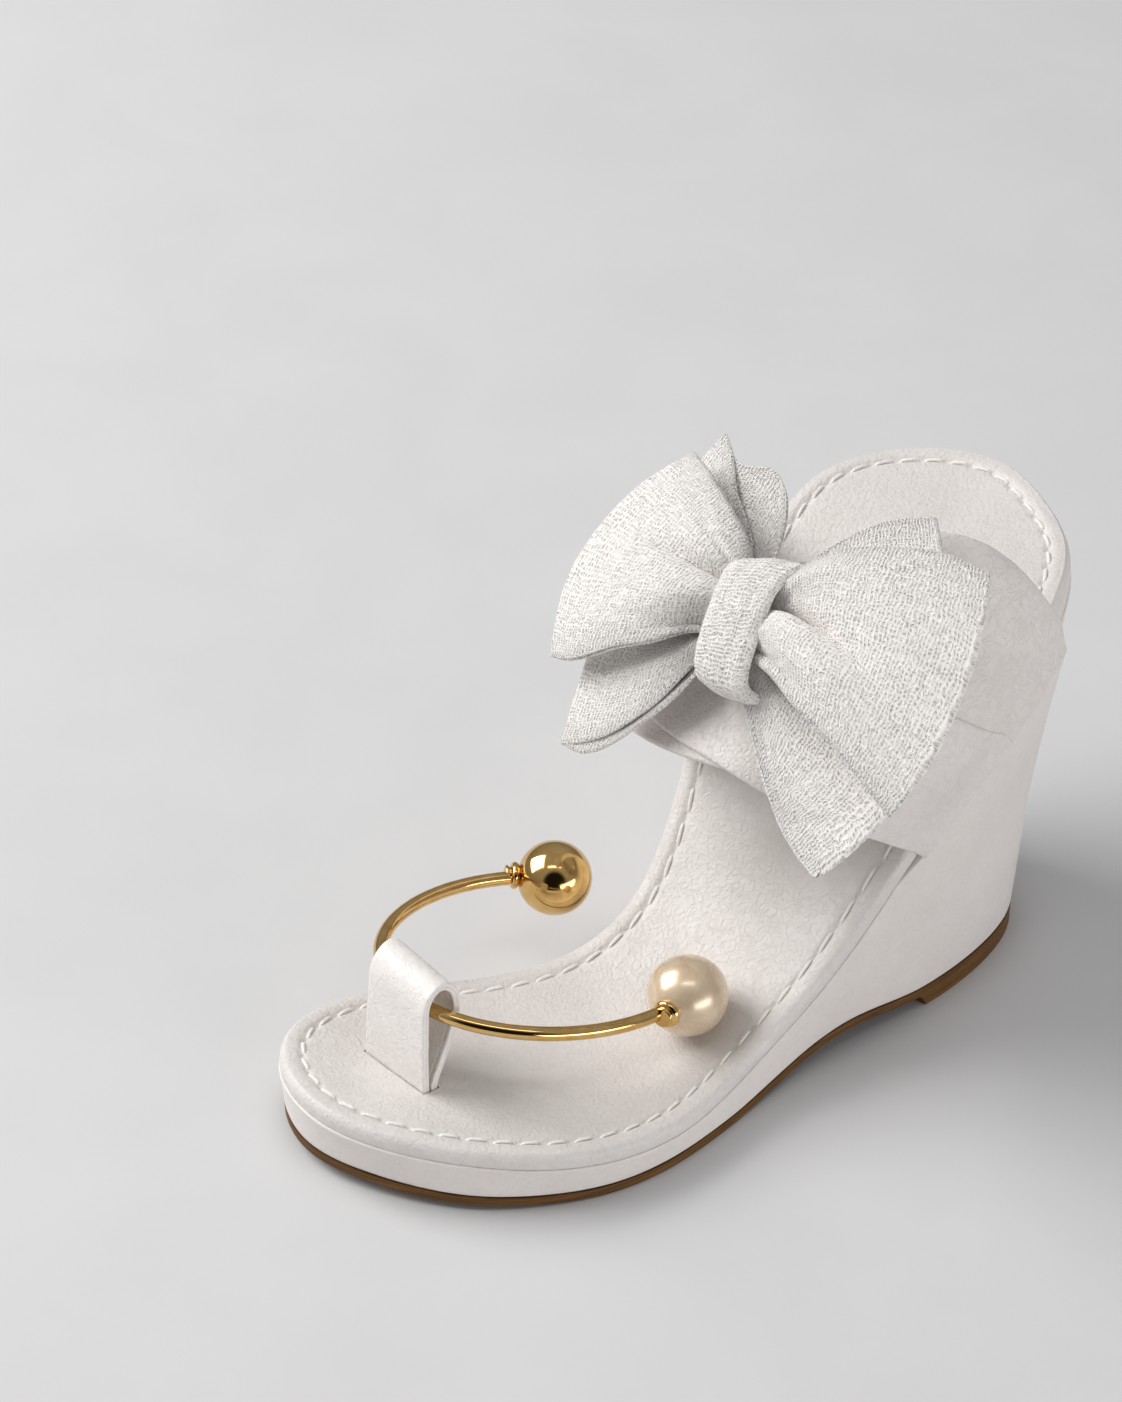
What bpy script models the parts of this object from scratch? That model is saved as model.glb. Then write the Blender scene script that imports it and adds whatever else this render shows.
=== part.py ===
# Left wedge mule sandal: a wrapped wedge with a padded insole, two crossed bands over the instep
# with a bow on them, and a leather loop at the toe that holds an open metal toe ring.
#
# Frame: +X to the outer side of the foot, -Y to the toe, +Z up, and the origin on the floor in
# the middle of the heel's flat base. "Forward" is the distance towards the toe, so Y = -forward.
# Every size here is in millimetres and becomes metres in add_mesh().

import math

import bmesh
import bpy
import numpy as np

MM = 0.001
GAP = 0.3
SHOE_NAME = "wedge_mule_sandal"

# Sole and footbed
INSOLE_THICK = 4.2
RIM_ROUND = 2.0
RIM_ANGLES = (-80, -40, 0, 40, 80)
BED_DISH = 1.2
HEEL_PAD = 4.8
PAD_FULL = -12.0
PAD_END = 20.0
LIP = 0.8
BED_MIDDLE = 42.0
WALL_HOLLOW = 0.3
OUTSOLE_THICK = 2.5
HEEL_LIFT = 6.0
BREAST = 24.0
TOE_SPRING = 2.8
SPRING_START = 112.0
SPRING_END = 159.2
TREAD_FLAT_BACK = 88.0
WAIST_ARCH = 5.2
WAIST_MIDDLE = 46.0

# Bands, toe loop, ring and bow
BAND_THICK = 1.6
BAND_LIFT = 0.9
FOOT_RISE = 0.5
FOOT_DROP = 1.15
LOOP_THICK = 1.9
LOOP_WIDTH = 19.8
LOOP_YAW = math.radians(-2.0)
LOOP_TWIST = 0.0033
LOOP_BASE = (-24.4, 137.4)
SLIT_DEPTH = 3.0
SLIT_WIDTH = 4.9
SLIT_OPEN = 6.0
RING_CENTRE = (-19.2, 96.7, 28.15)
RING_HALF_WIDTH = 31.4
RING_HALF_LENGTH = 39.2
RING_PITCH = math.radians(-10.7)
RING_YAW = math.radians(-17.2)
RING_START = math.radians(-117.5)
RING_END = math.radians(126.8)
TUBE_RADIUS = 1.65
GOLD_BALL_RADIUS = 8.9
PEARL_RADIUS = 9.4
BOW_MIDDLE = (-1.0, 60.2, 110.7)
BOW_SLOPE = math.radians(37.3)

# How finely the shapes are divided
HEEL_ROWS = 16
TOE_ROWS = 20
ACROSS = 6
BAND_ROWS = 24
BAND_COLUMNS = 6
ROW_EVENNESS = 0.8

# Edge of the footbed seen from above, from the back of the heel forward along the outer side,
# round the toe and back along the inner side.
FOOTBED_OUTLINE = (
    # forward, across
    (-47.5, -9.0),
    (-44.0, 6.0),
    (-35.5, 20.5),
    (-23.5, 29.2),
    (-8.0, 35.4),
    (12.0, 39.4),
    (34.0, 35.6),
    (57.0, 32.0),
    (80.0, 29.9),
    (105.0, 30.6),
    (129.0, 23.3),
    (145.0, 10.5),
    (155.2, -3.0),
    (161.3, -17.0),
    (162.0, -29.5),
    (156.8, -43.0),
    (144.0, -52.0),
    (123.0, -50.0),
    (104.0, -38.8),
    (80.0, -25.2),
    (60.0, -23.0),
    (39.0, -30.2),
    (16.0, -37.6),
    (-12.0, -42.2),
    (-29.0, -38.5),
    (-41.5, -26.5),
)

# Edge of the ground face under the wedge, in the same order.
GROUND_OUTLINE = (
    # forward, across
    (-28.0, 0.0),
    (-25.0, 15.0),
    (-16.5, 27.5),
    (-2.0, 33.8),
    (24.0, 34.8),
    (52.0, 30.8),
    (80.0, 30.2),
    (104.0, 30.2),
    (121.0, 26.3),
    (134.0, 19.2),
    (147.0, 8.0),
    (156.0, -6.0),
    (161.0, -20.0),
    (161.3, -32.0),
    (155.5, -44.0),
    (143.5, -51.5),
    (123.0, -49.4),
    (104.0, -38.2),
    (80.0, -25.4),
    (58.0, -23.0),
    (36.0, -27.0),
    (10.0, -31.0),
    (-12.0, -28.5),
    (-24.0, -15.0),
)

# Height of the footbed's edge above the floor along the shoe.
FOOTBED_HEIGHT = (
    # forward, height
    (-48.0, 100.4),
    (-32.0, 97.2),
    (-12.0, 93.6),
    (8.0, 81.6),
    (34.0, 54.0),
    (50.0, 36.2),
    (66.0, 23.4),
    (82.0, 16.0),
    (104.0, 13.4),
    (140.0, 16.9),
    (163.0, 20.4),
)

# How far the wedge's upper edge stands out past the insole to carry the feet of the bands.
STRAP_LEDGE = (
    # forward, ledge
    (-36.0, 0.0),
    (-22.0, 1.0),
    (-12.0, 3.6),
    (11.0, 2.6),
    (38.0, 1.9),
    (52.0, 0.0),
)

# The two bands share one arched surface. Its place along the shoe, "back", runs from 0 at the
# front edge to 1 at the rear edge, and its place over the foot, "over", from 0 at the outer side
# of the footbed to 1 at the inner side.
ARCH_SECTIONS = (
    # back, outer foot, inner foot, crown forward, crown height, outer and inner bulge, squareness
    (0.0, 34.0, 38.0, 68.6, 79.1, 0.3, 9.7, 0.93),
    (0.5, 11.0, 19.0, 55.0, 90.4, 7.4, 7.5, 0.78),
    (1.0, -12.0, 0.0, 21.4, 128.0, 4.1, 4.2, 0.8),
)
OVER_BAND = (
    # over, front edge, rear edge
    (0.0, 0.0, 0.52),
    (0.3, 0.0, 0.62),
    (0.5, 0.1, 0.76),
    (0.7, 0.3, 0.9),
    (1.0, 0.48, 1.0),
)
UNDER_BAND = (
    # over, front edge, rear edge
    (0.0, 0.5, 1.0),
    (0.3, 0.22, 1.0),
    (0.5, 0.0, 0.84),
    (0.7, 0.0, 0.54),
    (1.0, 0.0, 0.5),
)

# Middle line of the toe loop's strip seen from the side, measured from the middle of its slit.
LOOP_PROFILE = (
    # forward, height
    (1.15, -2.7),
    (1.15, 3.0),
    (0.9, 12.0),
    (0.4, 20.4),
    (-1.2, 26.6),
    (-4.4, 28.3),
    (-7.6, 26.2),
    (-8.9, 21.6),
    (-8.1, 15.9),
    (-5.5, 9.7),
    (-2.6, 4.0),
    (-1.15, 0.2),
    (-1.15, -2.7),
)

# The bow's loops seen from its front: distance out from the knot's middle, and the loop's
# lower edge, upper edge, height above the knot's middle and half thickness there.
BOW_LOOPS = {
    "bow_front_loop_inner": (
        # out, lower, upper, height, half thickness
        (-9.0, -6.0, 17.0, 1.0, 5.0),
        (-17.0, -13.0, 24.0, 2.5, 6.0),
        (-28.0, -20.0, 29.0, 1.5, 6.2),
        (-39.0, -23.0, 30.0, -2.0, 4.5),
        (-46.0, -15.0, 20.0, -5.0, 1.5),
    ),
    "bow_front_loop_outer": (
        (9.0, -5.0, 15.0, 1.0, 5.0),
        (19.0, -8.0, 26.0, 3.0, 6.4),
        (33.0, -12.0, 33.0, 2.0, 7.0),
        (46.0, -18.0, 36.0, -3.0, 5.0),
        (54.0, -19.0, 27.0, -7.5, 1.5),
    ),
    "bow_back_loop_inner": (
        (-9.0, -13.0, 15.0, -9.0, 2.0),
        (-17.0, -27.0, 29.0, -9.0, 2.4),
        (-26.0, -36.0, 34.0, -10.0, 2.6),
        (-36.0, -33.0, 37.0, -13.0, 1.2),
    ),
    "bow_back_loop_outer": (
        (9.0, -13.0, 18.0, -9.0, 2.0),
        (19.0, -24.0, 36.0, -9.0, 2.4),
        (32.0, -34.0, 39.0, -10.5, 2.8),
        (45.0, -36.0, 32.0, -14.5, 1.2),
    ),
}
KNOT_HALF_SIZE = (8.0, 14.5, 11.0)
KNOT_OFFSET = (0.0, 2.0, -2.3)

# name: (colour, metallic, roughness)
FINISHES = {
    "white_leather": ((0.86, 0.85, 0.84), 0.0, 0.5),
    "brown_rubber": ((0.28, 0.16, 0.06), 0.0, 0.6),
    "polished_gold": ((0.86, 0.64, 0.28), 1.0, 0.15),
    "pearl": ((0.88, 0.80, 0.70), 0.1, 0.2),
    "white_gauze": ((0.90, 0.89, 0.87), 0.0, 0.85),
}


def clear_scene():
    for thing in list(bpy.data.objects):
        bpy.data.objects.remove(thing, do_unlink=True)


def new_collection(name):
    collection = bpy.data.collections.new(name)
    bpy.context.scene.collection.children.link(collection)
    return collection


def finish(name):
    """The named Principled material, made once."""
    material = bpy.data.materials.get(name)
    if material:
        return material
    colour, metallic, roughness = FINISHES[name]
    material = bpy.data.materials.new(name)
    material.use_nodes = True
    shader = material.node_tree.nodes["Principled BSDF"]
    shader.inputs["Base Color"].default_value = (*colour, 1.0)
    shader.inputs["Metallic"].default_value = metallic
    shader.inputs["Roughness"].default_value = roughness
    return material


def add_mesh(name, points, faces, finish_name, collection):
    """An object with its faces turned outwards, from points in millimetres."""
    mesh = bpy.data.meshes.new(name)
    mesh.from_pydata([tuple(MM * value for value in point) for point in points], [], faces)
    body = bmesh.new()
    body.from_mesh(mesh)
    bmesh.ops.recalc_face_normals(body, faces=body.faces)
    body.to_mesh(mesh)
    body.free()
    mesh.materials.append(finish(finish_name))
    mesh.shade_smooth()
    mesh.set_sharp_from_angle(angle=math.radians(40))
    thing = bpy.data.objects.new(name, mesh)
    collection.objects.link(thing)
    return thing


def add_boolean(thing, operation, other):
    modifier = thing.modifiers.new(operation.lower(), "BOOLEAN")
    modifier.operation = operation
    modifier.solver = "EXACT"
    modifier.object = other


def as_cutter(thing, cutters):
    """Moves an object to the cutters, which are drawn as wires and aren't pieces of the shoe."""
    for collection in list(thing.users_collection):
        collection.objects.unlink(thing)
    cutters.objects.link(thing)
    thing.hide_render = True
    thing.display_type = "WIRE"


def spline(knots, values, at, period=0.0):
    """A cubic spline through the values at the knots, read at some places. A period closes it."""
    knots = np.array(knots, float)
    values = np.array(values, float).reshape(len(knots), -1)
    if period:
        knots = np.append(knots, knots[0] + period)
        values = np.vstack([values, values[:1]])
    count = len(knots)
    step = np.diff(knots)[:, None]
    slope = np.diff(values, axis=0) / step
    system = np.eye(count)
    load = np.zeros_like(values)
    for i in range(1, count - 1):
        system[i, i - 1 : i + 2] = step[i - 1, 0], 2 * (step[i - 1, 0] + step[i, 0]), step[i, 0]
        load[i] = 6 * (slope[i] - slope[i - 1])
    if period:
        system[0, [0, 1, -2]] = 2 * (step[0, 0] + step[-1, 0]), step[0, 0], step[-1, 0]
        load[0] = 6 * (slope[0] - slope[-1])
        system[-1, [0, -1]] = 1, -1
    bend = np.linalg.solve(system, load)
    at = np.array(at, float)
    span = np.clip(np.searchsorted(knots, at, side="right") - 1, 0, count - 2)
    left = (at - knots[span])[:, None]
    right = (knots[span + 1] - at)[:, None]
    width = step[span]
    return (
        (bend[span] * right**3 + bend[span + 1] * left**3) / (6 * width)
        + (values[span] / width - bend[span] * width / 6) * right
        + (values[span + 1] / width - bend[span + 1] * width / 6) * left
    )


def columns(table, at):
    """The table's other columns as smooth curves over its first one."""
    table = np.array(table, float)
    return spline(table[:, 0], table[:, 1:], np.atleast_1d(at))


def sides(table, forwards):
    """Where a closed outline's outer and inner sides are across, at some places along the shoe."""
    table = np.array(table, float)
    chord = np.sqrt(np.linalg.norm(np.roll(table, -1, axis=0) - table, axis=1))
    knots = np.append(0, np.cumsum(chord))
    dense = spline(knots[:-1], table, np.linspace(0, knots[-1], 4000), period=knots[-1])
    heel, toe = dense[:, 0].argmin(), dense[:, 0].argmax()
    dense = np.roll(dense[:-1], -heel, axis=0)
    toe = dense[:, 0].argmax()
    outer, inner = dense[: toe + 1], np.vstack([dense[toe:], dense[:1]])[::-1]
    return (
        np.interp(forwards, outer[:, 0], outer[:, 1]),
        np.interp(forwards, inner[:, 0], inner[:, 1]),
        (dense[0, 0], dense[toe, 0]),
    )


def row_places(heel_end, middle, toe_end):
    """Places of the rows along the shoe, closer together towards the two round ends."""
    heel = 1 - np.cos(math.pi / 2 * np.arange(HEEL_ROWS) / HEEL_ROWS)
    toe = np.sin(math.pi / 2 * np.arange(TOE_ROWS + 1) / TOE_ROWS)
    return np.append(heel_end + (middle - heel_end) * heel, middle + (toe_end - middle) * toe)


def edge_loop(table, middle):
    """The outline as a ring of (forward, across) points: outer side to the toe, inner side back."""
    ends = sides(table, [0.0])[2]
    forwards = row_places(ends[0], middle, ends[1])
    outer, inner, _ = sides(table, forwards)
    there = np.column_stack([forwards, outer])
    back = np.column_stack([forwards, inner])[-2:0:-1]
    return np.vstack([there, back])


def outward(loop):
    """The outline's outward directions in plan."""
    along = np.roll(loop, -1, axis=0) - np.roll(loop, 1, axis=0)
    normal = np.column_stack([-along[:, 1], along[:, 0]])
    return normal / np.linalg.norm(normal, axis=1)[:, None]


def smooth_step(value):
    value = np.clip(value, 0, 1)
    return value * value * (3 - 2 * value)


def bed_height(forward):
    return columns(FOOTBED_HEIGHT, forward)[:, 0]


def bed_points(plan, crown, depth):
    """Points some depth under the footbed, square to it. crown is 0 at its edge, 1 at its middle."""
    forward, across = plan[:, 0], plan[:, 1]
    slope = bed_height(forward + 0.5) - bed_height(forward - 0.5)
    scale = 1 / np.sqrt(1 + slope**2)
    forward = forward + depth * slope * scale
    height = bed_height(plan[:, 0]) - BED_DISH * crown - depth * scale
    return np.column_stack([across, -forward, height])


def insole_depth(forward):
    """Thickness of the insole, which is padded thicker under the heel."""
    return INSOLE_THICK + HEEL_PAD * (1 - smooth_step((forward - PAD_FULL) / (PAD_END - PAD_FULL)))


def strap_ledge(forward):
    table = np.array(STRAP_LEDGE, float)
    return np.interp(forward, table[:, 0], table[:, 1])


def floor_clearance(forward):
    """Height of the sheet sole's underside: arched at the waist and sprung at the toe."""
    past_heel = smooth_step((forward - BREAST) / (WAIST_MIDDLE - BREAST))
    to_tread = smooth_step((TREAD_FLAT_BACK - forward) / (TREAD_FLAT_BACK - WAIST_MIDDLE))
    waist = past_heel * to_tread
    heel = (HEEL_LIFT - OUTSOLE_THICK) * (1 - past_heel)
    reach = np.clip((forward - SPRING_START) / (SPRING_END - SPRING_START), 0, 1)
    return heel + WAIST_ARCH * waist + TOE_SPRING * reach**2


def fill_rows(outer, inner, crossings):
    """Points between the two sides of each row but the first and last, which are single points."""
    rows = []
    for i in range(1, len(outer) - 1):
        shares = [k / crossings for k in range(1, crossings)]
        rows.append([outer[i] + (inner[i] - outer[i]) * share for share in shares])
    return rows


def split_loop(loop):
    """A ring's outer side and inner side, both from heel to toe."""
    last = len(loop) // 2
    return loop[: last + 1], np.vstack([loop[:1], loop[last:][::-1]])


def cap_faces(loop_start, count, fill_start, crossings):
    """Faces of a cap of rows across a ring of points, with the fill's points between the two sides."""
    last = count // 2

    def row(i):
        if i == 0:
            return [loop_start]
        if i == last:
            return [loop_start + last]
        first = fill_start + (i - 1) * (crossings - 1)
        return [loop_start + i, *range(first, first + crossings - 1), loop_start + count - i]

    faces = []
    for i in range(last):
        here, ahead = row(i), row(i + 1)
        for k in range(crossings):
            corners = [here[min(k, len(here) - 1)], here[min(k + 1, len(here) - 1)]]
            corners += [ahead[min(k + 1, len(ahead) - 1)], ahead[min(k, len(ahead) - 1)]]
            faces.append(list(dict.fromkeys(corners)))
    return faces


def layered_solid(name, loops, bottom_fill, top_fill, finish_name, collection):
    """A solid from rings of points stacked upwards, closed below and above by rows across the shoe."""
    count = len(loops[0])
    points = [point for loop in loops for point in loop]
    faces = []
    for level in range(len(loops) - 1):
        for i in range(count):
            j = (i + 1) % count
            a, b = level * count, (level + 1) * count
            faces.append([a + i, a + j, b + j, b + i])
    for start, fill in ((0, bottom_fill), ((len(loops) - 1) * count, top_fill)):
        crossings = len(fill[0]) + 1
        faces += cap_faces(start, count, len(points), crossings)
        points += [point for row in fill for point in row]
    return add_mesh(name, points, faces, finish_name, collection)


def bed_cap(plan, gap):
    """The rows across the footbed, dished between the two sides: on it, or with a gap, below the insole."""
    outer, inner = split_loop(plan)
    rows = []
    for places in fill_rows(outer, inner, ACROSS):
        shares = np.array([k / ACROSS for k in range(1, ACROSS)])
        crown = 1 - (2 * shares - 1) ** 2
        places = np.array(places)
        depth = 0.0 if gap is None else insole_depth(places[:, 0]) + gap
        rows.append(list(bed_points(places, crown, depth)))
    return rows


def build_outsole(collection, cutters):
    """Moulded rubber unit: a thin sheet, thickened under the heel to a lift with a square breast."""
    plan = edge_loop(GROUND_OUTLINE, BREAST)
    under = floor_clearance(plan[:, 0])
    rings = [
        np.column_stack([plan[:, 1], -plan[:, 0], under]),
        np.column_stack([plan[:, 1], -plan[:, 0], under + OUTSOLE_THICK]),
    ]
    caps = [fill_rows(*split_loop(ring), 2) for ring in rings]
    outsole = layered_solid("outsole", rings, *caps, "brown_rubber", collection)

    outer, inner = split_loop(plan)
    outer = [tuple(point) for point in outer if point[0] < BREAST - GAP]
    inner = [tuple(point) for point in inner[1:] if point[0] < BREAST - GAP]
    outer_end, inner_end, _ = sides(GROUND_OUTLINE, [BREAST])
    lift_plan = [*outer, (BREAST, outer_end[0]), (BREAST, inner_end[0]), *reversed(inner)]
    top = HEEL_LIFT - OUTSOLE_THICK / 2
    points = [(across, -forward, height) for height in (0.0, top) for forward, across in lift_plan]
    count = len(lift_plan)
    faces = [list(range(count)), list(range(count, 2 * count))]
    faces += [[i, (i + 1) % count, count + (i + 1) % count, count + i] for i in range(count)]
    lift = add_mesh("heel_lift", points, faces, "brown_rubber", cutters)
    as_cutter(lift, cutters)
    add_boolean(outsole, "UNION", lift)


def build_wedge(collection):
    """Wrapped wedge and platform, from the outsole up to the crease under the insole."""
    footbed = edge_loop(FOOTBED_OUTLINE, BED_MIDDLE)
    ground = edge_loop(GROUND_OUTLINE, BREAST)
    normal = outward(footbed)
    edge = footbed + normal * strap_ledge(footbed[:, 0])[:, None]
    depth = insole_depth(footbed[:, 0]) + GAP
    top = bed_points(edge, 0.0, depth + LIP)
    lip_plan = edge - normal * LIP
    lip = bed_points(lip_plan, 0.0, depth)
    under = floor_clearance(ground[:, 0]) + OUTSOLE_THICK + GAP
    base = np.column_stack([ground[:, 1], -ground[:, 0], under])
    rings = [base]
    for rise in (0.25, 0.5, 0.75):
        spread = (1 - WALL_HOLLOW) * rise + WALL_HOLLOW * rise**3
        ring = base + (top - base) * spread
        ring[:, 2] = base[:, 2] + (top[:, 2] - base[:, 2]) * rise
        rings.append(ring)
    rings += [top, lip]
    caps = (fill_rows(*split_loop(base), 2), bed_cap(lip_plan, GAP))
    layered_solid("wedge", rings, *caps, "white_leather", collection)


def build_insole(collection, cutters):
    """Padded insole wrapped in leather with a rolled rim, and the slit that takes the toe loop."""
    footbed = edge_loop(FOOTBED_OUTLINE, BED_MIDDLE)
    normal = outward(footbed)
    thick = insole_depth(footbed[:, 0])
    rings = []
    for turn in np.radians(RIM_ANGLES):
        inset = RIM_ROUND * (1 - math.cos(turn))
        share = (1 - math.sin(turn) / math.sin(math.radians(RIM_ANGLES[-1]))) / 2
        rings.append(bed_points(footbed - normal * inset, 0.0, thick * share))
    face_plan = footbed - normal * inset
    caps = (bed_cap(face_plan, 0.0), bed_cap(face_plan, None))
    insole = layered_solid("insole", rings, *caps, "white_leather", collection)
    slit_floor = bed_height(LOOP_BASE[1])[0] - BED_DISH - SLIT_DEPTH
    bpy.ops.mesh.primitive_cube_add(size=1.0)
    slit = bpy.context.object
    slit.name = "slit"
    slit.scale = [MM * size for size in (LOOP_WIDTH + 2 * GAP, SLIT_WIDTH, 2 * SLIT_OPEN)]
    slit.location = [MM * place for place in (LOOP_BASE[0], -LOOP_BASE[1], slit_floor + SLIT_OPEN)]
    slit.rotation_euler = (0, 0, LOOP_YAW)
    as_cutter(slit, cutters)
    add_boolean(insole, "DIFFERENCE", slit)


def foot_place(forward, side):
    """Middle of a band's wall at the footbed's edge. side is 1 at the outer side, -1 at the inner."""
    across = sides(FOOTBED_OUTLINE, [forward])[0 if side == 1 else 1][0]
    stand = max(strap_ledge(forward), GAP + BAND_THICK) - BAND_THICK / 2
    return np.array([across + side * stand, -forward, bed_height(forward)[0] + FOOT_RISE])


def arch_point(back, over):
    """A point on the bands' shared arched surface over the instep."""
    place = columns(ARCH_SECTIONS, back)[0]
    outer_foot, inner_foot, crown_forward, crown_height, outer_bulge, inner_bulge, square = place
    outer, inner = foot_place(outer_foot, 1), foot_place(inner_foot, -1)
    middle = (outer + inner) / 2
    crown = np.array([middle[0], -crown_forward, crown_height])
    turn = math.pi * over
    round_across = math.copysign(abs(math.cos(turn)) ** square, math.cos(turn))
    point = middle + (outer - inner) / 2 * round_across + (crown - middle) * math.sin(turn) ** square
    point[0] += outer_bulge * math.sin(turn) * (1 + math.cos(turn)) / 2
    point[0] -= inner_bulge * math.sin(turn) * (1 - math.cos(turn)) / 2
    return point


def foot_row(row):
    """The lower end of a band's wall, down in the crease between the insole and the wedge."""
    low = []
    for across, along, _ in row:
        slope = bed_height(-along + 0.5)[0] - bed_height(-along - 0.5)[0]
        tilt = math.hypot(1, slope)
        ahead = -along - slope * insole_depth(-along) / tilt
        drop = insole_depth(ahead) * min(tilt, FOOT_DROP)
        low.append(np.array([across, along, bed_height(-along)[0] - drop]))
    return low


def band_surface(table, lift):
    """Rows of points on a band's middle surface, from its outer foot to its inner one."""
    overs = (1 - np.cos(math.pi * np.arange(BAND_ROWS + 1) / BAND_ROWS)) / 2
    overs = overs * (1 - ROW_EVENNESS) + ROW_EVENNESS * np.arange(BAND_ROWS + 1) / BAND_ROWS
    rows = []
    for over in overs:
        front, rear = columns(table, over)[0]
        row = []
        for k in range(BAND_COLUMNS + 1):
            back = front + (rear - front) * k / BAND_COLUMNS
            here = arch_point(back, over)
            ahead = arch_point(back + 0.01, over) - arch_point(back - 0.01, over)
            side = arch_point(back, min(over + 0.01, 1.0)) - arch_point(back, max(over - 0.01, 0.0))
            normal = np.cross(ahead, side)
            normal /= np.linalg.norm(normal)
            row.append(here + normal * lift)
        rows.append(row)
    return [foot_row(rows[0]), *rows, foot_row(rows[-1])]


def build_upper(collection, cutters):
    """Two leather bands crossed over the instep and joined where they cross, one open-ended wall."""
    bands = []
    for name, table, lift in (("upper", UNDER_BAND, 0.0), ("over_band", OVER_BAND, BAND_LIFT)):
        rows = band_surface(table, lift)
        width = len(rows[0])
        points = [point for row in rows for point in row]
        faces = []
        for i in range(len(rows) - 1):
            for k in range(width - 1):
                a = i * width + k
                faces.append([a, a + 1, a + 1 + width, a + width])
        band = add_mesh(name, points, faces, "white_leather", collection)
        thicken = band.modifiers.new("wall", "SOLIDIFY")
        thicken.thickness = BAND_THICK * MM
        thicken.offset = 0.0
        thicken.use_even_offset = True
        bands.append(band)
    as_cutter(bands[1], cutters)
    add_boolean(bands[0], "UNION", bands[1])


def loop_frame(forward, across, height):
    """A place in the toe loop's own frame, in the shoe's. The loop twists a little as it rises."""
    forward = forward + LOOP_TWIST * across * max(height, 0.0)
    x = LOOP_BASE[0] + across * math.cos(LOOP_YAW) + forward * math.sin(LOOP_YAW)
    y = -LOOP_BASE[1] + across * math.sin(LOOP_YAW) - forward * math.cos(LOOP_YAW)
    return (x, y, bed_height(LOOP_BASE[1])[0] - BED_DISH + height)


def build_toe_loop(collection):
    """Folded leather strip whose two ends go down the slit in the insole."""
    table = np.array(LOOP_PROFILE, float)
    knots = np.append(0, np.cumsum(np.linalg.norm(np.diff(table, axis=0), axis=1)))
    middle_line = spline(knots, table, np.linspace(0, knots[-1], 33))
    along = np.gradient(middle_line, axis=0)
    normal = np.column_stack([-along[:, 1], along[:, 0]])
    normal /= np.linalg.norm(normal, axis=1)[:, None]
    points, faces = [], []
    half = LOOP_WIDTH / 2
    for place, out in zip(middle_line, normal):
        for across, side in ((-half, 1), (half, 1), (half, -1), (-half, -1)):
            forward, height = place + out * side * LOOP_THICK / 2
            points.append(loop_frame(forward, across, height))
    for i in range(len(middle_line) - 1):
        for k in range(4):
            a, b = 4 * i + k, 4 * i + (k + 1) % 4
            faces.append([a, b, b + 4, a + 4])
    last = 4 * (len(middle_line) - 1)
    faces += [[0, 1, 2, 3], [last, last + 1, last + 2, last + 3]]
    add_mesh("toe_loop", points, faces, "white_leather", collection)


def ring_point(angle):
    """A point on the ring's centre line. The angle is 0 at the toe loop and positive to the outer side."""
    pitch_way = np.array([0, math.cos(RING_PITCH), math.sin(RING_PITCH)])
    side_way = np.array([1.0, 0, 0])
    across = side_way * math.cos(RING_YAW) + pitch_way * math.sin(RING_YAW)
    along = -side_way * math.sin(RING_YAW) + pitch_way * math.cos(RING_YAW)
    centre = np.array([RING_CENTRE[0], -RING_CENTRE[1], RING_CENTRE[2]])
    return centre + RING_HALF_WIDTH * math.sin(angle) * across - RING_HALF_LENGTH * math.cos(angle) * along


def ring_end(angle, sign):
    """Centre of the ball and the unit direction out of the ring at one of its ends."""
    way = ring_point(angle + sign * 0.01) - ring_point(angle - sign * 0.01)
    return ring_point(angle), way / np.linalg.norm(way)


def build_ring_end(name, ball_radius, angle, sign, collar_finish, ball_finish, collection):
    """A flared collar and a ball at an open end of the ring. Gives back where the tube stops."""
    centre, way = ring_end(angle, sign)
    sit = ball_radius - 0.35
    collar_length = 3.4
    start = centre - way * (sit + GAP + collar_length)
    profile = ((0.0, 0.0), (2.1, 0.0), (2.5, 0.5), (2.1, 1.1), (2.0, 1.5), (2.9, 2.0), (3.3, 2.7), (2.9, 3.4), (0.0, 3.4))
    side = np.cross(way, (0, 0, 1))
    side /= np.linalg.norm(side)
    up = np.cross(side, way)
    turns = 16
    points, faces = [], []
    for radius, out in profile[1:-1]:
        for k in range(turns):
            angle_k = 2 * math.pi * k / turns
            points.append(start + way * out + radius * (math.cos(angle_k) * side + math.sin(angle_k) * up))
    levels = len(profile) - 2
    for i in range(levels - 1):
        for k in range(turns):
            j = (k + 1) % turns
            faces.append([i * turns + k, i * turns + j, (i + 1) * turns + j, (i + 1) * turns + k])
    faces += [list(range(turns)), list(range((levels - 1) * turns, levels * turns))]
    add_mesh(f"collar_{name}", points, faces, collar_finish, collection)

    ball_mesh = bmesh.new()
    bmesh.ops.create_uvsphere(ball_mesh, u_segments=24, v_segments=14, radius=ball_radius * MM)
    mesh = bpy.data.meshes.new(f"ball_{name}")
    ball_mesh.to_mesh(mesh)
    ball_mesh.free()
    mesh.materials.append(finish(ball_finish))
    mesh.shade_smooth()
    ball = bpy.data.objects.new(f"ball_{name}", mesh)
    ball.location = [MM * value for value in centre]
    collection.objects.link(ball)
    return sit + 2 * GAP + collar_length


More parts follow.
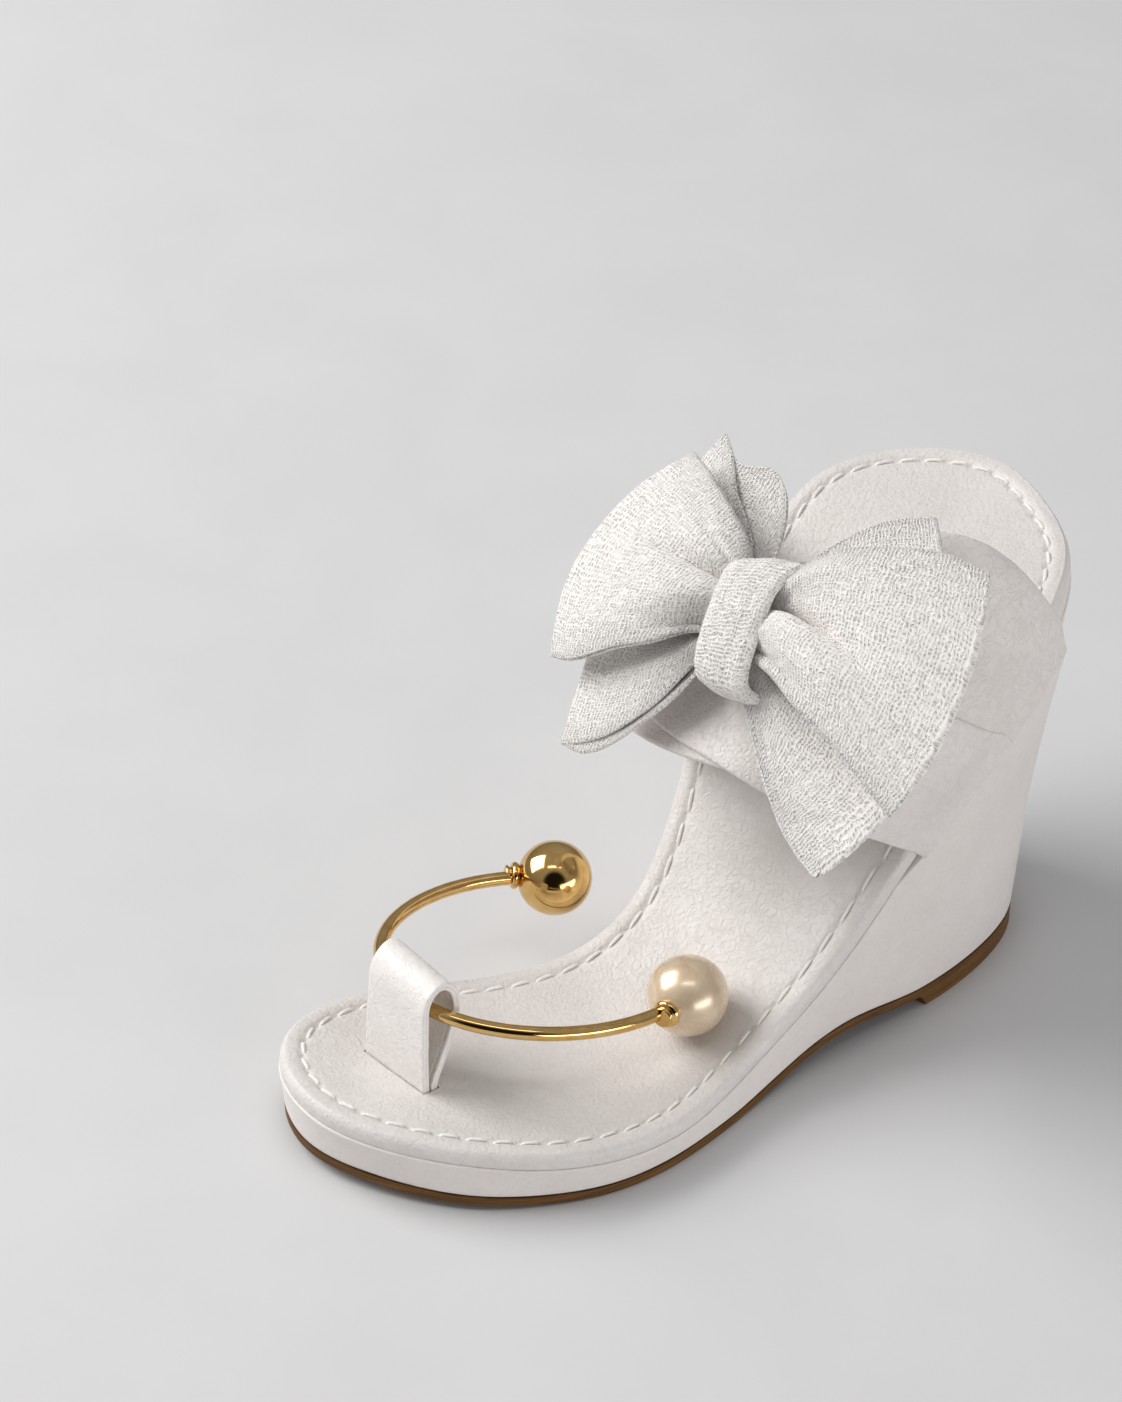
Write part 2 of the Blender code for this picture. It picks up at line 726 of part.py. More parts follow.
def build_toe_ring(collection):
    """Open metal cuff through the toe loop, with a gold ball at the inner end and a pearl at the outer end."""
    back_inner = build_ring_end("gold", GOLD_BALL_RADIUS, RING_START, -1, "polished_gold", "polished_gold", collection)
    back_outer = build_ring_end("pearl", PEARL_RADIUS, RING_END, 1, "polished_gold", "pearl", collection)
    angles = np.linspace(RING_START, RING_END, 400)
    line = np.array([ring_point(angle) for angle in angles])
    length = np.append(0, np.cumsum(np.linalg.norm(np.diff(line, axis=0), axis=1)))
    stations = np.linspace(back_inner, length[-1] - back_outer, 52)
    curve = bpy.data.curves.new("toe_ring", "CURVE")
    curve.dimensions = "3D"
    curve.bevel_depth = TUBE_RADIUS * MM
    curve.bevel_resolution = 3
    curve.use_fill_caps = True
    route = curve.splines.new("POLY")
    route.points.add(len(stations) - 1)
    for point, station in zip(route.points, stations):
        place = [np.interp(station, length, line[:, axis]) for axis in range(3)]
        point.co = (*[MM * value for value in place], 1.0)
    curve.materials.append(finish("polished_gold"))
    ring = bpy.data.objects.new("toe_ring", curve)
    collection.objects.link(ring)


def bow_axes():
    """The knot's middle and the bow's own directions: out to the outer side, up the instep, and away from it."""
    out = np.array([1.0, 0.0, 0.0])
    up = np.array([0.0, math.cos(BOW_SLOPE), math.sin(BOW_SLOPE)])
    middle = np.array([BOW_MIDDLE[0], -BOW_MIDDLE[1], BOW_MIDDLE[2]])
    return middle, out, up, np.cross(out, up)


def build_bow(collection):
    """A gathered knot with two front loops over two wider back loops, each a closed pad."""
    middle, out, up, away = bow_axes()
    turns = 20
    for name, table in BOW_LOOPS.items():
        table = np.array(table, float)
        reach = np.linspace(table[0, 0], table[-1, 0], 9)
        order = np.argsort(table[:, 0])
        sections = spline(table[order, 0], table[order, 1:], reach)
        points, faces = [], []
        for distance, (lower, upper, height, half_thick) in zip(reach, sections):
            centre = middle + out * distance + up * (lower + upper) / 2 + away * height
            for k in range(turns):
                turn = 2 * math.pi * k / turns
                wide = math.copysign(abs(math.cos(turn)) ** 0.8, math.cos(turn)) * (upper - lower) / 2
                points.append(centre + up * wide + away * math.sin(turn) * half_thick)
        for i in range(len(reach) - 1):
            for k in range(turns):
                j = (k + 1) % turns
                faces.append([i * turns + k, i * turns + j, (i + 1) * turns + j, (i + 1) * turns + k])
        last = (len(reach) - 1) * turns
        faces += [list(range(turns)), list(range(last, last + turns))]
        add_mesh(name, points, faces, "white_gauze", collection)

    knot = bmesh.new()
    bmesh.ops.create_uvsphere(knot, u_segments=20, v_segments=12, radius=1.0)
    points = []
    for vertex in knot.verts:
        across, along, high = (math.copysign(abs(value) ** 0.75, value) for value in vertex.co)
        place = np.array(KNOT_OFFSET) + np.array((across, along, high)) * KNOT_HALF_SIZE
        points.append(middle + out * place[0] + up * place[1] + away * place[2])
    faces = [[vertex.index for vertex in face.verts] for face in knot.faces]
    knot.free()
    add_mesh("bow_knot", points, faces, "white_gauze", collection)


clear_scene()
shoe = new_collection(SHOE_NAME)
cutters = new_collection("cutters")
build_outsole(shoe, cutters)
build_wedge(shoe)
build_insole(shoe, cutters)
build_upper(shoe, cutters)
build_toe_loop(shoe)
build_toe_ring(shoe)
build_bow(shoe)
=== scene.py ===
import math

import bmesh
import bpy
import numpy as np
from mathutils import Matrix, Vector


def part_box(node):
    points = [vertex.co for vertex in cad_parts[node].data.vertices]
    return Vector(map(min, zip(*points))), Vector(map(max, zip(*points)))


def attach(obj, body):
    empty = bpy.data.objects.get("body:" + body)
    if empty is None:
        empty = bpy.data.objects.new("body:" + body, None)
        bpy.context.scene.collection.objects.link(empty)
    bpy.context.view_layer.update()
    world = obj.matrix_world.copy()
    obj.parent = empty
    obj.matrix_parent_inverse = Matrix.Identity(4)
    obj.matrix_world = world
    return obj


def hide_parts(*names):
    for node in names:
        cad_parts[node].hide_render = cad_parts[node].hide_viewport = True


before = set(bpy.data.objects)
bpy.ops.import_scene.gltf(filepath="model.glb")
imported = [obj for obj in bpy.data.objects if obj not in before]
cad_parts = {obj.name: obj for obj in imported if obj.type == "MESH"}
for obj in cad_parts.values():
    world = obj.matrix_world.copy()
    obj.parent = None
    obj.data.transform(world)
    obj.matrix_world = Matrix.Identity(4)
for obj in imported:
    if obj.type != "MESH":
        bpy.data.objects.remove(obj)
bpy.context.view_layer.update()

# ---------------------------------------------------------------------------------------------
# Outsole. One moulded unit of brown rubber glued under the wrapped wedge: a thin sheet from toe
# to heel, thickened under the heel to a lift that ends forward in a square breast. Its edges are
# trimmed with a small bevel, and its underside is plain.
MM = 0.001
# Sizes are in millimetres. "Forward" is the distance towards the toe, so Y = -forward.
OUTSOLE_THICK = 2.5
HEEL_LIFT = 6.0
BREAST = 24.0
BREAST_SHARP = 0.12
TOE_SPRING = 2.8
SPRING_START = 112.0
SPRING_END = 159.2
TREAD_FLAT_BACK = 88.0
WAIST_ARCH = 5.2
WAIST_MIDDLE = 46.0
SOLE_EDGE = (
    # inset from the outline, rise above the underside
    (0.5, 0.0), (0.2, 0.12), (0.05, 0.3), (0.0, 0.6),
)
TOP_BEVEL = 0.6
TOP_SINK = 0.05
OUTLINE_FINE = 4000
SOLE_ROWS = (110, 150)
SOLE_ACROSS = 10
SHARP_EDGE = math.radians(42)
GROUND_OUTLINE = (
    # forward, across, from the back of the heel along the outer side and back along the inner
    (-28.0, 0.0), (-25.0, 15.0), (-16.5, 27.5), (-2.0, 33.8), (24.0, 34.8), (52.0, 30.8),
    (80.0, 30.2), (104.0, 30.2), (121.0, 26.3), (134.0, 19.2), (147.0, 8.0), (156.0, -6.0),
    (161.0, -20.0), (161.3, -32.0), (155.5, -44.0), (143.5, -51.5), (123.0, -49.4),
    (104.0, -38.2), (80.0, -25.4), (58.0, -23.0), (36.0, -27.0), (10.0, -31.0),
    (-12.0, -28.5), (-24.0, -15.0),
)


def spline(knots, values, at, period=0.0):
    """A cubic spline through the values at the knots, read at some places. A period closes it."""
    knots = np.array(knots, float)
    values = np.array(values, float).reshape(len(knots), -1)
    if period:
        knots = np.append(knots, knots[0] + period)
        values = np.vstack([values, values[:1]])
    count = len(knots)
    step = np.diff(knots)[:, None]
    slope = np.diff(values, axis=0) / step
    system = np.eye(count)
    load = np.zeros_like(values)
    for i in range(1, count - 1):
        system[i, i - 1 : i + 2] = step[i - 1, 0], 2 * (step[i - 1, 0] + step[i, 0]), step[i, 0]
        load[i] = 6 * (slope[i] - slope[i - 1])
    if period:
        system[0, [0, 1, -2]] = 2 * (step[0, 0] + step[-1, 0]), step[0, 0], step[-1, 0]
        load[0] = 6 * (slope[0] - slope[-1])
        system[-1, [0, -1]] = 1, -1
    bend = np.linalg.solve(system, load)
    at = np.array(at, float)
    span = np.clip(np.searchsorted(knots, at, side="right") - 1, 0, count - 2)
    left = (at - knots[span])[:, None]
    right = (knots[span + 1] - at)[:, None]
    width = step[span]
    return (
        (bend[span] * right**3 + bend[span + 1] * left**3) / (6 * width)
        + (values[span] / width - bend[span] * width / 6) * right
        + (values[span + 1] / width - bend[span + 1] * width / 6) * left
    )


def columns(table, at):
    """The table's other columns as smooth curves over its first one."""
    table = np.array(table, float)
    return spline(table[:, 0], table[:, 1:], np.atleast_1d(at))


def sides(table, forwards):
    """Where a closed outline's outer and inner sides are across, at some places along the shoe."""
    table = np.array(table, float)
    chord = np.sqrt(np.linalg.norm(np.roll(table, -1, axis=0) - table, axis=1))
    knots = np.append(0, np.cumsum(chord))
    places = np.linspace(0, knots[-1], OUTLINE_FINE)
    dense = spline(knots[:-1], table, places, period=knots[-1])
    dense = np.roll(dense[:-1], -dense[:, 0].argmin(), axis=0)
    toe = dense[:, 0].argmax()
    outer, inner = dense[: toe + 1], np.vstack([dense[toe:], dense[:1]])[::-1]
    return (
        np.interp(forwards, outer[:, 0], outer[:, 1]),
        np.interp(forwards, inner[:, 0], inner[:, 1]),
        (dense[0, 0], dense[toe, 0]),
    )


def edge_loop(table, middle, rows):
    """The outline as a ring of (forward, across) points: outer side to the toe, inner side back."""
    heel_rows, toe_rows = rows
    heel_end, toe_end = sides(table, [0.0])[2]
    heel = 1 - np.cos(math.pi / 2 * np.arange(heel_rows) / heel_rows)
    toe = np.sin(math.pi / 2 * np.arange(toe_rows + 1) / toe_rows)
    forwards = np.append(heel_end + (middle - heel_end) * heel, middle + (toe_end - middle) * toe)
    outer, inner, _ = sides(table, forwards)
    return np.vstack([np.column_stack([forwards, outer]), np.column_stack([forwards, inner])[-2:0:-1]])


def unit(vectors):
    """The directions of some vectors, each of length 1."""
    return vectors / np.linalg.norm(vectors, axis=-1, keepdims=True)


def outward(loop):
    """The outline's outward directions in plan."""
    along = np.roll(loop, -2, axis=0) - np.roll(loop, 2, axis=0)
    return unit(np.column_stack([-along[:, 1], along[:, 0]]))


def smooth_step(value):
    value = np.clip(value, 0, 1)
    return value * value * (3 - 2 * value)


def floor_clearance(forward):
    """Height of the sheet sole's underside: arched at the waist and sprung at the toe."""
    past_heel = smooth_step((forward - BREAST) / (WAIST_MIDDLE - BREAST))
    to_tread = smooth_step((TREAD_FLAT_BACK - forward) / (TREAD_FLAT_BACK - WAIST_MIDDLE))
    heel = (HEEL_LIFT - OUTSOLE_THICK) * (1 - past_heel)
    reach = np.clip((forward - SPRING_START) / (SPRING_END - SPRING_START), 0, 1)
    return heel + WAIST_ARCH * past_heel * to_tread + TOE_SPRING * reach**2


def rows_across(plan, across):
    """Plan points inside a ring, in rows between its two sides, without the two end points."""
    last = len(plan) // 2
    outer, inner = plan[: last + 1], np.vstack([plan[:1], plan[last:][::-1]])
    share = (np.arange(1, across) / across)[None, :, None]
    return outer[1:-1, None] + (inner[1:-1, None] - outer[1:-1, None]) * share


def stand_up(plan, height):
    """Places in the shoe, from (forward, across) points and the height of each."""
    return np.column_stack([plan[:, 1], -plan[:, 0], height])


def plan_of(places):
    """The (forward, across) points of some places in the shoe."""
    return np.column_stack([-places[:, 1], places[:, 0]])


def filled(plan, across, place_of):
    """Rows of places between an outline's two sides. place_of turns plan points into places."""
    rows = rows_across(plan, across)
    return place_of(rows.reshape(-1, 2)).reshape(*rows.shape[:2], 3)


def cap_faces(loop_start, count, fill_start, across):
    """Faces of rows across a ring of points, with the fill's points between its two sides."""
    last = count // 2

    def row(i):
        if i in (0, last):
            return [loop_start + i]
        first = fill_start + (i - 1) * (across - 1)
        return [loop_start + i, *range(first, first + across - 1), loop_start + count - i]

    faces = []
    for i in range(last):
        here, ahead = row(i), row(i + 1)
        for k in range(across):
            corners = [here[min(k, len(here) - 1)], here[min(k + 1, len(here) - 1)]]
            corners += [ahead[min(k + 1, len(ahead) - 1)], ahead[min(k, len(ahead) - 1)]]
            faces.append(list(dict.fromkeys(corners)))
    return faces


def side_faces(levels, count):
    """Faces between closed rings of points that follow each other, count points to a ring."""
    faces = []
    for a in range(0, (levels - 1) * count, count):
        b = a + count
        faces += [[a + i, a + (i + 1) % count, b + (i + 1) % count, b + i] for i in range(count)]
    return faces


def end_faces(levels, count):
    """The two flat ends of such rings."""
    return [list(range(count)), list(range((levels - 1) * count, levels * count))]


def layered(rings, bottom_fill, top_fill):
    """Points and faces of a body made of rings stacked upwards, closed below and above by rows."""
    count = len(rings[0])
    points = list(rings)
    faces = side_faces(len(rings), count)
    total = len(rings) * count
    for start, fill in ((0, bottom_fill), (total - count, top_fill)):
        faces += cap_faces(start, count, total, fill.shape[1] + 1)
        points.append(fill.reshape(-1, 3))
        total += fill.shape[0] * fill.shape[1]
    return np.vstack(points), faces


def add_piece(name, points, faces, material, body, nodes=()):
    """A piece of the shoe from points in millimetres, its faces outward, riding on a body."""
    mesh = bpy.data.meshes.new(name)
    mesh.from_pydata((np.array(points) * MM).tolist(), [], faces)
    skin = bmesh.new()
    skin.from_mesh(mesh)
    bmesh.ops.recalc_face_normals(skin, faces=skin.faces)
    skin.to_mesh(mesh)
    skin.free()
    mesh.materials.append(material)
    mesh.shade_smooth()
    mesh.set_sharp_from_angle(angle=SHARP_EDGE)
    piece = bpy.data.objects.new(name, mesh)
    bpy.context.scene.collection.objects.link(piece)
    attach(piece, body)
    if nodes:
        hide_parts(*nodes)
    return piece


def tint(red, green, blue):
    """A colour as mixed on a screen, 0 to 255, turned into light values for a shader."""
    parts = [value / 255 for value in (red, green, blue)]
    return (*[((p + 0.055) / 1.055) ** 2.4 if p > 0.04045 else p / 12.92 for p in parts], 1.0)


def put(tree, kind, sockets, **settings):
    """Adds a node. A socket given another node's output is joined to it, else it is set."""
    node = tree.nodes.new("ShaderNode" + kind)
    for key, value in settings.items():
        setattr(node, key, value)
    for key, value in sockets.items():
        if isinstance(value, bpy.types.NodeSocket):
            tree.links.new(value, node.inputs[key])
        else:
            node.inputs[key].default_value = value
    return node


def new_finish(name, roughness, **constants):
    """A material, its shader, and a position in millimetres fixed to the piece."""
    material = bpy.data.materials.new(name)
    material.use_nodes = True
    tree = material.node_tree
    shader = tree.nodes["Principled BSDF"]
    shader.inputs["Roughness"].default_value = roughness
    for key, value in constants.items():
        shader.inputs[key.replace("_", " ")].default_value = value
    place = put(tree, "TexCoord", {}).outputs["Object"]
    place = put(tree, "VectorMath", {0: place, "Scale": 1 / MM}, operation="SCALE").outputs[0]
    return material, tree, shader, place


def stretched(tree, place, x, y, z):
    """The place with its three directions scaled apart, for a grain that runs one way."""
    return put(tree, "VectorMath", {0: place, 1: (x, y, z)}, operation="MULTIPLY").outputs[0]


def noise(tree, place, scale, detail=3.0, distortion=0.0):
    values = {"Vector": place, "Scale": scale, "Detail": detail, "Distortion": distortion}
    return put(tree, "TexNoise", values).outputs["Fac"]


def ramp(tree, factor, low, high, start=0.0, end=1.0):
    """The factor moved from the range low..high to start..end, and held there outside it."""
    values = {"Value": factor, "From Min": low, "From Max": high, "To Min": start, "To Max": end}
    return put(tree, "MapRange", values, interpolation_type="SMOOTHSTEP").outputs["Result"]


def blend_colour(tree, factor, one, other):
    node = put(tree, "Mix", {0: factor, 6: one, 7: other}, data_type="RGBA")
    return node.outputs[2]


def bump(tree, height, strength, depth, under=None):
    """Relief of some depth in millimetres, laid over the relief under it."""
    values = {"Height": height, "Strength": strength, "Distance": depth * MM}
    if under is not None:
        values["Normal"] = under
    return put(tree, "Bump", values).outputs["Normal"]


def dress(tree, shader, colour, relief, gloss=None):
    """Joins a finish's colour and relief to its shader, and its roughness where that varies."""
    tree.links.new(colour, shader.inputs["Base Color"])
    tree.links.new(relief, shader.inputs["Normal"])
    if gloss is not None:
        tree.links.new(gloss, shader.inputs["Roughness"])


def rubber_finish():
    """Brown moulded rubber with a fine grain, drawn in faint level streaks."""
    material, tree, shader, place = new_finish("brown_rubber_sole", 0.6, Specular_IOR_Level=0.25)
    grain = noise(tree, place, 1.6, 5.0, 0.4)
    streak = noise(tree, stretched(tree, place, 0.05, 0.05, 1.6), 1.0, 4.0, 0.2)
    patch = noise(tree, place, 0.06, 3.0)
    brown = blend_colour(tree, ramp(tree, streak, 0.35, 0.7), tint(92, 61, 27), tint(118, 83, 39))
    brown = blend_colour(tree, ramp(tree, patch, 0.4, 0.75, 0.0, 0.5), brown, tint(74, 48, 22))
    relief = bump(tree, grain, 0.5, 0.12, bump(tree, streak, 0.35, 0.2))
    dress(tree, shader, brown, relief, ramp(tree, grain, 0.3, 0.7, 0.48, 0.66))
    return material


def build_outsole():
    plan = edge_loop(GROUND_OUTLINE, BREAST, SOLE_ROWS)
    normal = outward(plan)

    def underside(there):
        """Height of the underside, with the breast's step just forward of the heel lift."""
        past = smooth_step((there[:, 0] - BREAST) / BREAST_SHARP + 0.5)
        return floor_clearance(there[:, 0]) * past

    def topside(there):
        return floor_clearance(there[:, 0]) + OUTSOLE_THICK

    rings = []
    for inset, rise in SOLE_EDGE:
        rings.append(stand_up(plan - normal * inset, underside(plan) + rise))
    for inset, rise in reversed(SOLE_EDGE[1:]):
        edge = plan - normal * inset * TOP_BEVEL
        rings.append(stand_up(edge, topside(plan) - rise * TOP_BEVEL))
    below = filled(plan_of(rings[0]), SOLE_ACROSS, lambda there: stand_up(there, underside(there)))
    above = filled(
        plan_of(rings[-1]), SOLE_ACROSS, lambda there: stand_up(there, topside(there) - TOP_SINK)
    )
    points, faces = layered(rings, below, above)
    add_piece("outsole_unit", points, faces, rubber_finish(), "sandal", ["outsole"])


build_outsole()

# ---------------------------------------------------------------------------------------------
# Wedge wrap. A light wedge and platform covered with one piece of white leather, lasted
# smooth round the heel and the toe, turned in over the top edge under the insole and rolled in
# at the bottom over the outsole.
INSOLE_THICK = 4.2
HEEL_PAD = 4.8
PAD_FULL = -12.0
PAD_END = 20.0
LIP = 0.45
BED_JOINT = 0.06
SOLE_JOINT = 0.12
CORE_SINK = 0.6
BED_MIDDLE = 42.0
BED_DISH = 1.2
WALL_HOLLOW = 0.3
WALL_LEVELS = 30
WALL_LOWEST = 0.075
WALL_ROLL = 0.9
ROLL_STEPS = 5
WEDGE_TINTS = ((234, 228, 224), (230, 224, 220))
FOOTBED_OUTLINE = (
    # forward, across, in the same order as the ground outline
    (-47.5, -9.0), (-44.0, 6.0), (-35.5, 20.5), (-23.5, 29.2), (-8.0, 35.4), (12.0, 39.4),
    (34.0, 35.6), (57.0, 32.0), (80.0, 29.9), (105.0, 30.6), (129.0, 23.3), (145.0, 10.5),
    (155.2, -3.0), (161.3, -17.0), (162.0, -29.5), (156.8, -43.0), (144.0, -52.0),
    (123.0, -50.0), (104.0, -38.8), (80.0, -25.2), (60.0, -23.0), (39.0, -30.2),
    (16.0, -37.6), (-12.0, -42.2), (-29.0, -38.5), (-41.5, -26.5),
)
FOOTBED_HEIGHT = (
    # forward, height of the footbed's edge above the floor
    (-48.0, 100.4), (-32.0, 97.2), (-12.0, 93.6), (8.0, 81.6), (34.0, 54.0), (50.0, 36.2),
    (66.0, 23.4), (82.0, 16.0), (104.0, 13.4), (140.0, 16.9), (163.0, 20.4),
)
OUTER_LEDGE = (
    # forward, how far the wedge stands out past the insole to carry the feet of the bands
    (-19.5, 0.0), (-15.0, 1.3), (-12.0, 3.2), (7.0, 2.4), (34.0, 1.3), (40.0, 0.0),
)
INNER_LEDGE = ((-18.0, 0.0), (-9.0, 0.7), (-1.0, 3.0), (11.0, 2.5), (38.0, 1.3), (44.0, 0.0))
FOOTBED_ROWS = (140, 180)


def bed_height(forward):
    return columns(FOOTBED_HEIGHT, forward)[:, 0]


def bed_slope(forward):
    """The footbed's rise for each millimetre forward, and how much of a depth square to it is down."""
    slope = bed_height(forward + 0.5) - bed_height(forward - 0.5)
    return slope, 1 / np.sqrt(1 + slope**2)


def bed_points(plan, crown, depth):
    """Points some depth under the footbed, square to it. crown is 0 at its edge, 1 at its middle."""
    forward, across = plan[:, 0], plan[:, 1]
    slope, scale = bed_slope(forward)
    height = bed_height(forward) - BED_DISH * crown - depth * scale
    return np.column_stack([across, -(forward + depth * slope * scale), height])


def insole_depth(forward):
    """Thickness of the insole, which is padded thicker under the heel."""
    return INSOLE_THICK + HEEL_PAD * (1 - smooth_step((forward - PAD_FULL) / (PAD_END - PAD_FULL)))


def strap_ledge(forward, side):
    """How far the wedge stands out. The outer side is where side is positive."""
    outer, inner = np.array(OUTER_LEDGE).T, np.array(INNER_LEDGE).T
    return np.where(np.asarray(side) > 0, np.interp(forward, *outer), np.interp(forward, *inner))


def worked(tree, operation, one, other):
    """Two values put together by a sum such as MULTIPLY or MAXIMUM."""
    return put(tree, "Math", {0: one, 1: other}, operation=operation).outputs[0]


def wandering(tree, place, scale, detail, reach):
    """The place moved about by a slow noise, so that a pattern laid on it runs unevenly."""
    wander = put(tree, "TexNoise", {"Vector": place, "Scale": scale, "Detail": detail}).outputs["Color"]
    shift = put(tree, "VectorMath", {0: wander, "Scale": reach}, operation="SCALE").outputs[0]
    return put(tree, "VectorMath", {0: place, 1: shift}, operation="ADD").outputs[0]


def leather_finish(name, tints, grain, crease, roughness):
    """White leather: fine pebbles grain deep, faint creases crease deep with painted shade, a soft low
    gloss.
    """
    material, tree, shader, place = new_finish(
        name, roughness, Specular_IOR_Level=0.42, Coat_Weight=0.08, Coat_Roughness=0.35
    )
    light, shade = [tint(*value) for value in tints]
    moved = wandering(tree, place, 0.45, 2.0, 1.6)
    cells = put(tree, "TexVoronoi", {"Vector": moved, "Scale": 1.25}, feature="SMOOTH_F1")
    pebble = ramp(tree, cells.outputs["Distance"], 0.15, 0.75, 1.0, 0.0)
    fold = noise(tree, moved, 0.28, 5.0, 1.1)
    crease_and_shade = worked(tree, "MULTIPLY", ramp(tree, fold, 0.44, 0.5), ramp(tree, fold, 0.5, 0.56, 1.0, 0.0))
    cloud = noise(tree, place, 0.045, 4.0, 0.3)
    colour = blend_colour(tree, ramp(tree, cloud, 0.35, 0.7), light, shade)
    # Painted shade: the colour is darkened a little along the sunken creases.
    colour = blend_colour(tree, ramp(tree, crease_and_shade, 0.0, 1.0, 0.0, 0.1), colour, tint(196, 190, 184))
    gloss = ramp(tree, noise(tree, place, 0.2, 4.0), 0.3, 0.7, roughness - 0.06, roughness + 0.08)
    relief = bump(tree, cloud, 0.2, 0.4)
    relief = bump(tree, crease_and_shade, 0.5, -crease, relief)
    relief = bump(tree, pebble, 0.6, grain, relief)
    relief = bump(tree, noise(tree, place, 3.4, 3.0, 0.2), 0.35, grain * 0.6, relief)
    dress(tree, shader, colour, relief, gloss)
    return material


def build_wedge():
    footbed = edge_loop(FOOTBED_OUTLINE, BED_MIDDLE, FOOTBED_ROWS)
    ground = edge_loop(GROUND_OUTLINE, BREAST, FOOTBED_ROWS)
    normal = outward(footbed)
    edge = footbed + normal * strap_ledge(footbed[:, 0], normal[:, 1])[:, None]
    depth = insole_depth(footbed[:, 0]) + BED_JOINT

    def on_sole(there):
        return stand_up(there, floor_clearance(there[:, 0]) + OUTSOLE_THICK + SOLE_JOINT)

    def under_insole(there):
        return bed_points(there, 1.0, insole_depth(there[:, 0]) + CORE_SINK)

    base, top = on_sole(ground), bed_points(edge, 0.0, depth + LIP)
    inward = stand_up(-outward(ground), np.zeros(len(ground)))
    quarter = np.linspace(0, math.pi / 2, ROLL_STEPS)
    rings = []
    for turn in quarter:
        roll = base + inward * WALL_ROLL * (1 - math.sin(turn))
        roll[:, 2] += WALL_ROLL * (1 - math.cos(turn))
        rings.append(roll)
    for rise in np.linspace(WALL_LOWEST, 1, WALL_LEVELS)[1:]:
        spread = (1 - WALL_HOLLOW) * rise + WALL_HOLLOW * rise**3
        ring = base + (top - base) * spread
        ring[:, 2] = base[:, 2] + (top[:, 2] - base[:, 2]) * rise
        rings.append(ring)
    for turn in quarter[1:]:
        inset, sink = LIP * (1 - math.cos(turn)), LIP * (1 - math.sin(turn))
        rings.append(bed_points(edge - normal * inset, 0.0, depth + sink))
    below = filled(plan_of(rings[0]), SOLE_ACROSS, on_sole)
    above = filled(edge - normal * LIP, SOLE_ACROSS, under_insole)
    points, faces = layered(rings, below, above)
    wrap = leather_finish("wedge_leather", WEDGE_TINTS, grain=0.05, crease=0.05, roughness=0.44)
    add_piece("wedge_wrap", points, faces, wrap, "sandal", ["wedge"])


build_wedge()

# ---------------------------------------------------------------------------------------------
# Insole. A padded board wrapped in white leather with a soft rolled rim, stitched down all round
# a little in from its edge. A slit near the toe takes the two ends of the toe loop.
RIM_ROUND = 2.0
RIM_UNDER = 0.7
RIM_TURN = math.radians(66)
RIM_LEVELS = 21
SEAM_IN = 5.0
SEAM_STEP = 0.2
GROOVE_DEEP = 0.3
GROOVE_WIDE = 0.8
PUCKER_DEEP = 0.3
PUCKER_LONG = 0.9
PUFF_HIGH = 0.22
PUFF_IN = 3.1
PUFF_WIDE = 1.1
PUFF_PINCH = 0.35
DISH_REACH = 30.0
STITCH_PITCH = 6.0
STITCH_SHARE = 0.8
STITCH_WIDE = 0.39
STITCH_HIGH = 0.4
STITCH_SLANT = 0.3
STITCH_RISE = 0.34
STITCH_DIVE = 0.5
STITCH_STATIONS = 13
STITCH_TURNS = 8
INSOLE_ACROSS = 30
INSOLE_TINTS = ((227, 222, 219), (222, 217, 213))
TOP_RINGS = (
    # distance in from the footbed's edge
    2.1, 2.6, 3.1, 3.6, 4.0, 4.3, 4.6, 4.8, 5.0, 5.2, 5.4, 5.7, 6.0, 6.4, 7.0, 8.0, 9.5, 11.5,
)
LOOP_WIDTH = 19.8
LOOP_YAW = math.radians(-2.0)
LOOP_BASE = (-24.4, 137.4)
SLIT_GAP = 0.3
SLIT_DEPTH = 3.0
SLIT_WIDTH = 4.9
SLIT_OPEN = 6.0


def bed_crown(distance):
    """How far down the dish a place is, from its distance in from the footbed's edge."""
    inside = np.clip((distance - RIM_ROUND) / DISH_REACH, 0, 1)
    return 1 - (1 - inside) ** 2


def run_length(points):
    """How far along a line each of its points is."""
    return np.append(0, np.cumsum(np.linalg.norm(np.diff(points, axis=0), axis=1)))


def seam_path():
    """The stitched seam as a closed line in plan, how far along it each point is, and its pitch."""
    footbed = edge_loop(FOOTBED_OUTLINE, BED_MIDDLE, FOOTBED_ROWS)
    seam = footbed - outward(footbed) * SEAM_IN
    seam = np.vstack([seam, seam[:1]])
    along = run_length(seam)
    return seam, along, along[-1] / round(along[-1] / STITCH_PITCH)


